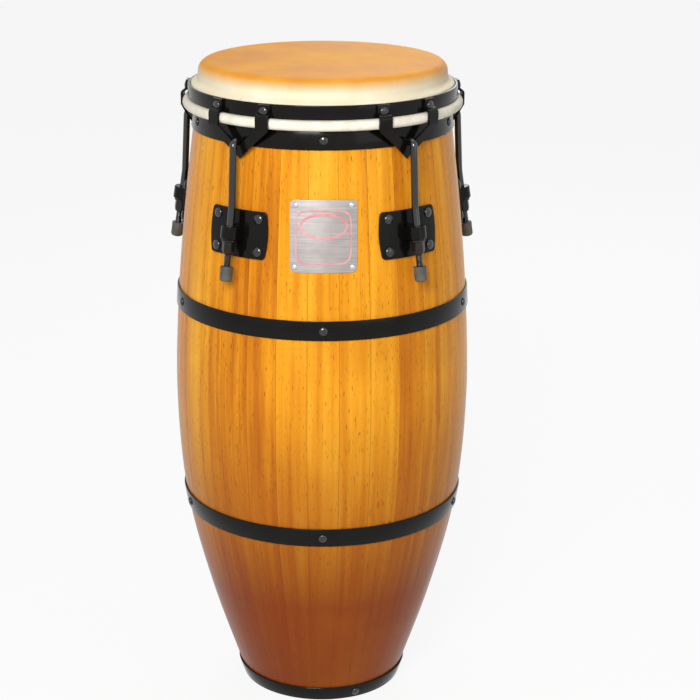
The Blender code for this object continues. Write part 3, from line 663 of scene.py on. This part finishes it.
def build_shell():
    foot = BAND_THICKNESS + GAP
    crest = HEAD_TOP - SKIN_THICKNESS - GAP
    shoulder = crest - EDGE_ROUND
    outside = [(shell_radius(height), height) for height in curve_heights(foot, shoulder)]
    edge_centre = (shell_radius(shoulder) - EDGE_ROUND, shoulder)
    outside += arc(edge_centre, EDGE_ROUND, 0, 90, steps=6)[1:]
    inner_heights = reversed(curve_heights(foot, crest - EDGE_BEVEL))
    inside = [(shell_radius(height) - SHELL_WALL, height) for height in inner_heights]
    bm = bmesh.new()
    turn_into(bm, outside + inside)
    shell = piece("stave_shell", bm, wood, "shell", ("shell",))
    shell.data.materials.append(bare_wood)
    foot_face = foot + 0.0001
    for face in shell.data.polygons:
        out = Vector((face.center.x, face.center.y - AXIS_Y, 0))
        if face.normal.dot(out) < 0 or face.center.z < foot_face:
            face.material_index = 1


def band_outline(bottom):
    low = [(shell_radius(height), height) for height in curve_heights(bottom, bottom + BAND_HEIGHT)]
    low = offset_path(low, -GAP)
    high = offset_path(low, -BAND_THICKNESS)
    return softened([low[0], high[0], high[-1], low[-1]], BAND_EDGE)


def foot_band_outline():
    """The foot's band turns in under the wood."""
    low = shell_radius(0) + GAP
    high = shell_radius(FOOT_BAND_HEIGHT) + GAP
    corners = [
        (low - FOOT_LIP_WIDTH, 0),
        (low + BAND_THICKNESS, 0),
        (high + BAND_THICKNESS, FOOT_BAND_HEIGHT),
        (high, FOOT_BAND_HEIGHT),
        (low + GAP, BAND_THICKNESS),
        (low - FOOT_LIP_WIDTH, BAND_THICKNESS),
    ]
    return softened(corners, BAND_EDGE)


def build_band(name, outline, screw_azimuths, screw_height):
    bm = bmesh.new()
    turn_into(bm, outline)
    piece(f"{name}_band_steel", bm, black, "shell", (f"{name}_band",))
    bm = bmesh.new()
    for azimuth in screw_azimuths:
        dome_into(bm, seat(azimuth, screw_height, GAP + BAND_THICKNESS), SCREW_RADIUS, SCREW_HEIGHT)
    piece(f"{name}_band_screws", bm, polished, "shell")


def build_bands():
    for name, bottom in BAND_BOTTOMS.items():
        build_band(name, band_outline(bottom), gap_azimuths(), bottom + BAND_HEIGHT / 2)
    foot_azimuths = [FOOT_SCREW_AZIMUTH + math.tau * screw / FOOT_SCREWS for screw in range(FOOT_SCREWS)]
    build_band("foot", foot_band_outline(), foot_azimuths, FOOT_BAND_HEIGHT / 2)


def wrap_into(bm, azimuth, left, right, high_lift, rows, columns):
    """A plate wrapped on the shell; left and right give its edges across at a share of its height."""
    layers = []
    for lift in (GAP, high_lift):
        layer = []
        for row in range(rows + 1):
            share = row / rows
            (first, height), (last, _) = left(share), right(share)
            radius = shell_radius(height)
            line = []
            for column in range(columns + 1):
                across = first + (last - first) * column / columns
                line.append(bm.verts.new(polar(radius + lift, azimuth + across / radius, height)))
            layer.append(line)
        layers.append(layer)
    rims = []
    for layer in layers:
        for low, high in zip(layer, layer[1:]):
            for column in range(columns):
                bm.faces.new((low[column], low[column + 1], high[column + 1], high[column]))
        right_rim = [line[-1] for line in layer[1:]]
        left_rim = [line[0] for line in layer[-2:0:-1]]
        rims.append(layer[0] + right_rim + layer[-1][-2::-1] + left_rim)
    for i in range(len(rims[0])):
        j = (i + 1) % len(rims[0])
        bm.faces.new((rims[0][i], rims[0][j], rims[1][j], rims[1][i]))


def badge_edge(side):
    """One upright edge of the badge, with rounded corners, by share of its height."""

    def at(share):
        up = share * BADGE_HEIGHT
        into_corner = BADGE_CORNER - min(up, BADGE_HEIGHT - up, BADGE_CORNER)
        inset = BADGE_CORNER - math.sqrt(max(BADGE_CORNER**2 - into_corner**2, 0))
        return side * (BADGE_WIDTH / 2 - inset), BADGE_BOTTOM + up

    return at


def badge_middle():
    return BADGE_BOTTOM + BADGE_HEIGHT / 2


def border_path(width, height, exponent, rise):
    """A superellipse on the badge; a small exponent squares it."""
    path = []
    for step in range(BORDER_STEPS):
        angle = math.tau * step / BORDER_STEPS
        across = width / 2 * math.copysign(abs(math.cos(angle)) ** exponent, math.cos(angle))
        up = height / 2 * math.copysign(abs(math.sin(angle)) ** exponent, math.sin(angle))
        path.append((across, badge_middle() + rise + up))
    return path


def border_into(bm, path, line_width, face_lift):
    """A raised line that follows a closed path on the badge's face."""
    rings = []
    for i, point in enumerate(path):
        ahead = Vector(path[(i + 1) % len(path)]) - Vector(path[i - 1])
        side = Vector((-ahead.y, ahead.x)).normalized() * line_width / 2
        ring = []
        for sign, lift in ((-1, 0.0), (-1, BORDER_LIFT), (1, BORDER_LIFT), (1, 0.0)):
            across, height = Vector(point) + side * sign
            radius = shell_radius(height)
            ring.append(polar(radius + face_lift - BORDER_SINK + lift, across / radius, height))
        rings.append(ring)
    loft_into(bm, rings, closed_path=True)


def build_badge():
    """A brushed plate with a plain enamel frame and oval, and four pins."""
    face_lift = GAP + BADGE_THICKNESS
    bm = bmesh.new()
    wrap_into(bm, 0, badge_edge(-1), badge_edge(1), face_lift, rows=60, columns=40)
    piece("badge_plate", bm, aluminium, "shell", ("badge",), bevel=BADGE_BEVEL)
    bm = bmesh.new()
    for width, height, line_width, exponent, rise in BORDERS:
        border_into(bm, border_path(width, height, exponent, rise), line_width, face_lift)
    piece("badge_border", bm, enamel, "shell")
    bm = bmesh.new()
    turn = (BADGE_WIDTH / 2 - PIN_INSET) / shell_radius(badge_middle())
    for side in (-1, 1):
        for rise in (-1, 1):
            height = badge_middle() + rise * (BADGE_HEIGHT / 2 - PIN_INSET)
            dome_into(bm, seat(side * turn, height, face_lift), PIN_RADIUS, PIN_HEIGHT)
    piece("badge_pins", bm, bright, "shell")


def rod_frame(azimuth):
    """Frame of a lug's rod: local Z runs up the threaded axis, local -Y points outwards."""
    place = Matrix.Translation(polar(ROD_AXIS_RADIUS, 0, ROD_AXIS_HEIGHT))
    return Matrix.Rotation(azimuth, 4, "Z") @ place @ Matrix.Rotation(-ROD_TILT, 4, "X")


def nose_into(bm, azimuth):
    """The nose that carries the rod: flat flanks and a half-round end, with softened rims."""
    root = ROD_AXIS_RADIUS - shell_radius(ROD_AXIS_HEIGHT) - GAP - PLATE_THICKNESS / 2
    half = NOSE_HEIGHT / 2
    levels = ((-half, NOSE_EDGE), (-half + NOSE_EDGE, 0), (half - NOSE_EDGE, 0), (half, NOSE_EDGE))
    rings = []
    for height, inset in levels:
        radius = NOSE_RADIUS - inset
        plan = [(radius, root), (-radius, root), *arc((0, 0), radius, 180, 360, NOSE_STEPS)]
        rings.append([rod_frame(azimuth) @ Vector((across, out, height)) for across, out in plan])
    loft_into(bm, rings)


def plate_edge(side):
    """One bowed edge of a side plate, with eased corners, by share of its height."""

    def at(share):
        rise = 2 * share - 1
        into_corner = max(0.0, (abs(rise) - 1 + PLATE_CORNER_SHARE) / PLATE_CORNER_SHARE)
        across = PLATE_WIDTH / 2 + PLATE_BOW * (1 - rise**2) - PLATE_CORNER * into_corner**2
        return side * across, PLATE_BOTTOM + PLATE_HEIGHT * share

    return at


def bolt_into(bm, place):
    """A carriage bolt through plate and wall, with its nut inside the shell."""
    dome_into(bm, place, BOLT_RADIUS, BOLT_HEIGHT, steps=28, rise=7)
    reach = -PLATE_THICKNESS - GAP - SHELL_WALL - BOLT_NUT_GAP
    rings = [
        circle_ring(BOLT_SHANK, 0.0, BOLT_SIDES),
        circle_ring(BOLT_SHANK, reach, BOLT_SIDES),
        hexagon_ring(BOLT_NUT_FLATS, reach, BOLT_NUT_ROUND, BOLT_SIDES),
        hexagon_ring(BOLT_NUT_FLATS, reach - BOLT_NUT_HEIGHT, BOLT_NUT_ROUND, BOLT_SIDES),
    ]
    loft_into(bm, [[place @ point for point in ring] for ring in rings])


def build_side_plates():
    middle = PLATE_BOTTOM + PLATE_HEIGHT / 2
    face_lift = GAP + PLATE_THICKNESS
    corners = [(side, rise) for side in (-1, 1) for rise in (-1, 1)]
    for lug, azimuth in enumerate(lug_azimuths(), start=1):
        bm = bmesh.new()
        wrap_into(bm, azimuth, plate_edge(-1), plate_edge(1), face_lift, rows=24, columns=28)
        nose_into(bm, azimuth)
        node = f"side_plate_{lug}"
        piece(f"lug_plate_{lug}", bm, black, "shell", (node,), bevel=PLATE_BEVEL)
        for number, (side, rise) in enumerate(corners, start=1):
            turn = azimuth + side * BOLT_SPREAD / shell_radius(middle)
            bm = bmesh.new()
            bolt_into(bm, seat(turn, middle + rise * BOLT_RISE, face_lift))
            node = f"side_plate_bolt_{lug}_{number}"
            piece(f"lug_bolt_{lug}_{number}", bm, polished, "shell", (node,))


def skin_path():
    """Middle line of the hide: over the edge, down and out to the crown band, under it and round the hoop."""
    half = SKIN_THICKNESS / 2
    lift = GAP + half
    crest = HEAD_TOP - half
    round_over = EDGE_ROUND + lift
    shoulder = crest - round_over
    collar = COLLAR_TOP + SKIN_FLARE_RADIUS
    against_band = CROWN_INNER_RADIUS - GAP - half
    wrap = HOOP_CORE_RADIUS + lift
    edge_centre = (shell_radius(shoulder) - EDGE_ROUND, shoulder)
    flare_centre = (shell_radius(collar) + lift + SKIN_FLARE_RADIUS, collar)
    strip_centre = (against_band - SKIN_STRIP_RADIUS, COLLAR_TOP - SKIN_STRIP_DROP)
    tuck_centre = (against_band + SKIN_TUCK_RADIUS, HOOP_HEIGHT + wrap + SKIN_TUCK_RADIUS)
    path = [(SKIN_RING * ring, crest) for ring in range(5)]
    path += arc(edge_centre, round_over, 90, 0, steps=8)
    path += [(shell_radius(height) + lift, height) for height in (collar + 0.002, collar + 0.001)]
    path += arc(flare_centre, SKIN_FLARE_RADIUS, 180, 245, steps=6)
    path += arc(strip_centre, SKIN_STRIP_RADIUS, 65, 0, steps=5)
    path += arc(tuck_centre, SKIN_TUCK_RADIUS, 180, 270, steps=6)
    return path + arc((HOOP_RADIUS, HOOP_HEIGHT), wrap, 90, -205, steps=26)


def build_drumhead():
    """The hide stretches between shell and crown; the hoop's core stays the frame's own."""
    middle = skin_path()
    upper = offset_path(middle, SKIN_THICKNESS / 2)
    lower = offset_path(middle, -SKIN_THICKNESS / 2)
    bm = bmesh.new()
    turn_into(bm, upper + lower[::-1], closed=False)
    skin = piece("hide_head", bm, hide, None, ("drumhead",))
    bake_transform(skin)
    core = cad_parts["hoop_core"]
    core.data.materials.clear()
    core.data.materials.append(black)


def crown_bottom():
    return HOOP_HEIGHT + HOOP_CORE_RADIUS + SKIN_THICKNESS + 2 * GAP


def strap_profile():
    """Inner face of a strap: down the crown band, out over the hoop, then down and in to the tip."""
    on_band = CROWN_INNER_RADIUS + CROWN_THICKNESS + STRAP_GAP
    past_hoop = HOOP_RADIUS + HOOP_CORE_RADIUS + SKIN_THICKNESS + GAP + STRAP_GAP
    points = [
        (on_band, crown_bottom() + CROWN_HEIGHT - STRAP_TOP_INSET),
        (on_band, crown_bottom() + STRAP_SHELF_RISE),
        (past_hoop, crown_bottom() + GAP),
        (past_hoop, HOOP_HEIGHT - HOOP_CORE_RADIUS - STRAP_KNEE_DROP),
        (STRAP_TIP_RADIUS, STRAP_TIP_HEIGHT),
    ]
    path = [points[0]]
    for before, corner, after in zip(points, points[1:], points[2:]):
        path += rounded_corner(before, corner, after, STRAP_BEND_RADIUS, steps=4)
    return [*path, points[-1]]


def hook_distance():
    """How far along the strap's profile the hook's centre lies."""
    return lengths_of(strap_profile())[-1] - TIP_DEPTH - ROD_RADIUS - HOOK_GAP


def strap_edges(lengths):
    """Outer and inner edge of the flat V, as (across, distance along the profile), left to right."""
    above_knee = lengths[:-1]
    knee, tip = lengths[-2:]
    hook = hook_distance()
    notch = ROD_RADIUS + HOOK_GAP
    outer = STRAP_SPREAD + STRAP_WIDTH / 2
    inner = STRAP_SPREAD - STRAP_WIDTH / 2
    right_out = [(outer, length) for length in above_knee]
    right_in = [(inner, length) for length in above_knee]
    join = Vector((notch * math.cos(math.pi / 4), hook + notch * math.sin(math.pi / 4)))
    for step in range(1, ARM_STEPS + 1):
        share = ARM_SHARE * step / ARM_STEPS
        right_out.append((outer * (1 - share), knee + (tip - knee) * share))
        right_in.append(tuple(Vector((inner, knee)).lerp(join, step / ARM_STEPS)))
    for step in range(1, NOTCH_STEPS + 1):
        share = ARM_SHARE + (1 - ARM_SHARE) * step / NOTCH_STEPS
        right_out.append((outer * (1 - share), knee + (tip - knee) * share))
        angle = math.pi / 4 * (1 + step / NOTCH_STEPS)
        right_in.append((notch * math.cos(angle), hook + notch * math.sin(angle)))
    left_out = [(-across, length) for across, length in reversed(right_out[:-1])]
    left_in = [(-across, length) for across, length in reversed(right_in[:-1])]
    return right_out + left_out, right_in + left_in


def strap_into(bm, azimuth):
    """A flat V: two arms from the crown band that meet in a pointed tip below the hook."""
    inner_face = strap_profile()
    outer_face = offset_path(inner_face, STRAP_THICKNESS)
    lengths = lengths_of(inner_face)

    def place(across, distance, profile):
        i = max(k for k in range(len(lengths) - 1) if k == 0 or lengths[k] <= distance)
        share = min((distance - lengths[i]) / (lengths[i + 1] - lengths[i]), 1.0)
        radius, height = Vector(profile[i]).lerp(Vector(profile[i + 1]), share)
        return polar(radius, azimuth + across / inner_face[0][0], height)

    rings = []
    for outside, inside in zip(*strap_edges(lengths)):
        middle = ((outside[0] + inside[0]) / 2, (outside[1] + inside[1]) / 2)
        ring = [place(*point, inner_face) for point in (outside, middle, inside)]
        ring += [place(*point, outer_face) for point in (inside, middle, outside)]
        rings.append(ring)
    loft_into(bm, rings)


def rivets_into(bm, azimuth):
    """Domed heads outside the strap, and flat tails inside the crown band."""
    on_band = CROWN_INNER_RADIUS + CROWN_THICKNESS + STRAP_GAP
    height = crown_bottom() + CROWN_HEIGHT / 2
    for side in (-1, 1):
        turn = azimuth + side * STRAP_SPREAD / on_band
        outwards = Matrix.Rotation(turn, 4, "Z") @ Matrix.Rotation(math.pi / 2, 4, "X")
        inwards = outwards @ Matrix.Rotation(math.pi, 4, "X")
        head = Matrix.Translation(polar(on_band + STRAP_THICKNESS, turn, height)) @ outwards
        tail = Matrix.Translation(polar(CROWN_INNER_RADIUS, turn, height)) @ inwards
        dome_into(bm, head, RIVET_RADIUS, RIVET_HEIGHT)
        dome_into(bm, tail, RIVET_TAIL_RADIUS, RIVET_TAIL_HEIGHT)


def build_crown():
    bottom = crown_bottom()
    top = bottom + CROWN_HEIGHT
    outer = CROWN_INNER_RADIUS + CROWN_THICKNESS
    corners = [(CROWN_INNER_RADIUS, bottom), (outer, bottom), (outer, top), (CROWN_INNER_RADIUS, top)]
    bm = bmesh.new()
    turn_into(bm, softened(corners, CROWN_EDGE, steps=4))
    piece("crown_ring", bm, black, "crown", ("crown_band",))
    for lug, azimuth in enumerate(lug_azimuths(), start=1):
        bm = bmesh.new()
        strap_into(bm, azimuth)
        node = f"crown_strap_{lug}"
        piece(f"v_strap_{lug}", bm, black, "crown", (node,), bevel=STRAP_BEVEL)
        bm = bmesh.new()
        rivets_into(bm, azimuth)
        piece(f"strap_rivets_{lug}", bm, polished, "crown")


def nut_top():
    return -NOSE_HEIGHT / 2 - GAP


def cap_top():
    return nut_top() - NUT_LENGTH - THREAD_EXPOSED


def rod_end():
    """Place of the rod's lower end along its threaded axis, inside the cap."""
    return cap_top() - CAP_BORE_DEPTH + GAP


def rod_points():
    """Centre line of a front lug's rod as (radius, height), from its threaded end to its hook."""
    profile = strap_profile()
    hook = along(profile, lengths_of(profile), hook_distance())[1]
    end = rod_end()
    low = (ROD_AXIS_RADIUS - end * math.sin(ROD_TILT), ROD_AXIS_HEIGHT + end * math.cos(ROD_TILT))
    bend_radius = ROD_AXIS_RADIUS - (ROD_BEND_HEIGHT - ROD_AXIS_HEIGHT) * math.tan(ROD_TILT)
    bend = (bend_radius, ROD_BEND_HEIGHT)
    top = (HOOK_RADIUS, hook)
    tail = (HOOK_END_RADIUS, hook)
    points = [low, *rounded_corner(low, bend, top, ROD_BEND_RADIUS, steps=10)]
    points += rounded_corner(bend, top, tail, HOOK_BEND_RADIUS, steps=10)
    return [*points, (HOOK_END_RADIUS + HOOK_END_EDGE, hook), tail]


def plain_rod_rings(thread_high):
    """Round rings from the top of the thread to the hook's end, which is rounded off."""
    path = [polar(radius, 0, height) for radius, height in rod_points()]
    path[0] = rod_frame(0) @ Vector((0, 0, thread_high))
    side = Vector((1, 0, 0))
    rings = []
    for i, point in enumerate(path):
        before = (point - path[i - 1]).normalized() if i else None
        after = (path[i + 1] - point).normalized() if i + 1 < len(path) else None
        up = ((before or after) + (after or before)).normalized().cross(side)
        radius = ROD_RADIUS * (HOOK_END_SHARE if after is None else 1.0)
        corners = circle_ring(radius, 0, ROD_SIDES)
        rings.append([point + side * corner.x - up * corner.y for corner in corners])
    return rings


def thread_rings(low, high):
    """Rings whose radius rises and falls once round, shifted on along the axis by the thread's pitch."""
    count = math.ceil((high - low) / THREAD_PITCH * THREAD_STEPS)
    rings = []
    for step in range(count + 1):
        height = low + (high - low) * step / count
        ring = []
        for corner in range(ROD_SIDES):
            phase = (height / THREAD_PITCH + corner / ROD_SIDES) % 1.0
            radius = ROD_RADIUS - THREAD_INSET - THREAD_DEPTH * abs(2 * phase - 1)
            angle = math.tau * corner / ROD_SIDES
            ring.append(rod_frame(0) @ Vector((radius * math.cos(angle), radius * math.sin(angle), height)))
        rings.append(ring)
    return rings


def rod_into(bm, azimuth):
    """The plain rod above its thread, and the cut thread below."""
    thread_high = NOSE_HEIGHT / 2 - THREAD_RUNOUT
    turn = Matrix.Rotation(azimuth, 4, "Z")
    for rings in (plain_rod_rings(thread_high), thread_rings(rod_end(), thread_high)):
        loft_into(bm, [[turn @ point for point in ring] for ring in rings])


def nut_into(bm, matrix):
    """Flange against the nose, long hexagon, tapered lower end."""
    top = nut_top()
    bottom = top - NUT_LENGTH
    under_flange = top - NUT_FLANGE_HEIGHT
    taper = bottom + NUT_TAPER_LENGTH
    corner = NUT_FLATS / 2 / math.cos(math.pi / 6)
    bore = ROD_RADIUS + BORE_GAP
    rings = [
        circle_ring(bore, top),
        circle_ring(NUT_FLANGE_RADIUS - NUT_FLANGE_EDGE, top),
        circle_ring(NUT_FLANGE_RADIUS, top - NUT_FLANGE_EDGE),
        circle_ring(NUT_FLANGE_RADIUS, under_flange + NUT_FLANGE_EDGE),
        circle_ring(NUT_FLANGE_RADIUS - NUT_FLANGE_EDGE, under_flange),
        hexagon_ring(NUT_FLATS, under_flange - NUT_NECK, corner * NUT_CORNER_SHARE),
        hexagon_ring(NUT_FLATS, taper + NUT_SHOULDER, corner * NUT_CORNER_SHARE),
        hexagon_ring(NUT_FLATS * NUT_CORNER_SHARE, taper, corner * NUT_SHOULDER_SHARE),
        circle_ring(NUT_TAPER_RADIUS + NUT_END_EDGE, bottom + 2 * NUT_END_EDGE),
        circle_ring(NUT_TAPER_RADIUS - NUT_END_EDGE, bottom),
        circle_ring(bore, bottom),
    ]
    loft_into(bm, [[matrix @ point for point in ring] for ring in rings], closed_path=True)


def cap_into(bm, matrix):
    """Rubber cap: a lip round its mouth, a plain wall and a rounded end."""
    top = cap_top()
    bottom = top - CAP_LENGTH
    bore = ROD_RADIUS + BORE_GAP
    wall = CAP_RADIUS - CAP_LIP[-1][0]
    outline = [(0.0, top - CAP_BORE_DEPTH), (bore, top - CAP_BORE_DEPTH), (bore, top)]
    outline += [(CAP_RADIUS - inset, top - depth) for inset, depth in CAP_LIP]
    outline += arc((wall - CAP_ROUND, bottom + CAP_ROUND), CAP_ROUND, 0, -90, steps=6)
    outline += [(0.0, bottom)]
    turn_into(bm, outline, CAP_SIDES, closed=False, matrix=matrix)


def build_rods():
    for lug, azimuth in enumerate(lug_azimuths(), start=1):
        matrix = rod_frame(azimuth)
        bm = bmesh.new()
        rod_into(bm, azimuth)
        piece(f"hook_rod_{lug}", bm, polished, f"rod_{lug}", (f"tuning_rod_{lug}",))
        bm = bmesh.new()
        nut_into(bm, matrix)
        piece(f"hex_nut_{lug}", bm, worn, f"nut_{lug}", (f"tuning_nut_{lug}",))
        bm = bmesh.new()
        cap_into(bm, matrix)
        piece(f"rubber_cap_{lug}", bm, rubber, f"rod_{lug}", (f"rod_cap_{lug}",))


def open_rays(tree):
    """1 for the rays that see a background: from the camera, by reflection and through glass."""
    path = tree.nodes.new("ShaderNodeLightPath")
    seen = path.outputs["Is Camera Ray"]
    for name in ("Is Glossy Ray", "Is Transmission Ray"):
        either = tree.nodes.new("ShaderNodeMath")
        either.operation = "MAXIMUM"
        tree.links.new(seen, either.inputs[0])
        tree.links.new(path.outputs[name], either.inputs[1])
        seen = either.outputs[0]
    return seen


def floor_material():
    """White to the eye, with part of the object's shadow kept; plain grey-white to the light."""
    n = Nodes("pale_floor")
    n.finish((0.82, 0.82, 0.82, 1.0), 0.6)
    glow = n.tree.nodes.new("ShaderNodeEmission")
    glow.inputs["Color"].default_value = (1.0, 1.0, 1.0, 1.0)
    mixed = n.tree.nodes.new("ShaderNodeMixShader")
    n.tree.links.new(n.math("MULTIPLY", open_rays(n.tree), FLOOR_GLOW), mixed.inputs[0])
    n.tree.links.new(n.shader.outputs[0], mixed.inputs[1])
    n.tree.links.new(glow.outputs[0], mixed.inputs[2])
    n.tree.links.new(mixed.outputs[0], n.tree.nodes["Material Output"].inputs["Surface"])
    return n.material


def build_floor():
    bm = bmesh.new()
    bmesh.ops.create_grid(bm, x_segments=1, y_segments=1, size=FLOOR_REACH)
    mesh = bpy.data.meshes.new("floor")
    bm.to_mesh(mesh)
    bm.free()
    mesh.materials.append(floor_material())
    floor = bpy.data.objects.new("floor", mesh)
    bpy.context.scene.collection.objects.link(floor)


def build_world():
    """White where it is seen, and a soft even light."""
    world = bpy.data.worlds.new("studio")
    bpy.context.scene.world = world
    world.use_nodes = True
    tree = world.node_tree
    background = tree.nodes["Background"]
    background.inputs["Color"].default_value = (1.0, 1.0, 1.0, 1.0)
    strength = tree.nodes.new("ShaderNodeMapRange")
    tree.links.new(open_rays(tree), strength.inputs[0])
    strength.inputs[3].default_value = WORLD_STRENGTH
    strength.inputs[4].default_value = 1.0
    tree.links.new(strength.outputs[0], background.inputs["Strength"])


def build_lamps():
    for name, where, size, power in LAMPS:
        lamp = bpy.data.lights.new(name, "AREA")
        lamp.size = size
        lamp.energy = power
        obj = bpy.data.objects.new(name, lamp)
        bpy.context.scene.collection.objects.link(obj)
        obj.location = where
        obj.rotation_euler = (LAMP_TARGET - Vector(where)).to_track_quat("-Z", "Y").to_euler()


def build_camera():
    data = bpy.data.cameras.new("camera")
    data.lens = CAMERA_LENS
    data.sensor_width = SENSOR_WIDTH
    data.shift_x = CAMERA_SHIFT
    camera = bpy.data.objects.new("camera", data)
    bpy.context.scene.collection.objects.link(camera)
    camera.location = (CAMERA_SIDE, AXIS_Y - CAMERA_DISTANCE, CAMERA_HEIGHT)
    camera.rotation_euler = (math.pi / 2 - CAMERA_PITCH, 0, 0)
    bpy.context.scene.camera = camera


wood = wood_material()
bare_wood = bare_wood_material()
black = black_material("gloss_black", 0.0025, 0.10, 0.20)
polished = black_material("polished_black", 0.003, 0.06, 0.12, shine=0.75)
worn = black_material("worn_black", 0.020, 0.16, 0.30, metallic=0.6)
hide = hide_material()
aluminium = aluminium_material()
bright = mottled_material(
    "bright_pin", (0.55, 0.55, 0.54), (0.72, 0.72, 0.70), 40.0, 0.22, 0.00002, Metallic=0.9
)
enamel = mottled_material("faded_enamel", (0.62, 0.22, 0.24), (0.74, 0.36, 0.38), 60.0, 0.40, 0.00003)
rubber = mottled_material("grey_rubber", (0.055, 0.050, 0.042), (0.12, 0.11, 0.095), 90.0, 0.62, 0.00006)

build_camera()
build_floor()
build_world()
build_lamps()
build_shell()
build_bands()
build_badge()
build_side_plates()
build_drumhead()
build_crown()
build_rods()

bpy.context.scene.view_settings.view_transform = "Standard"
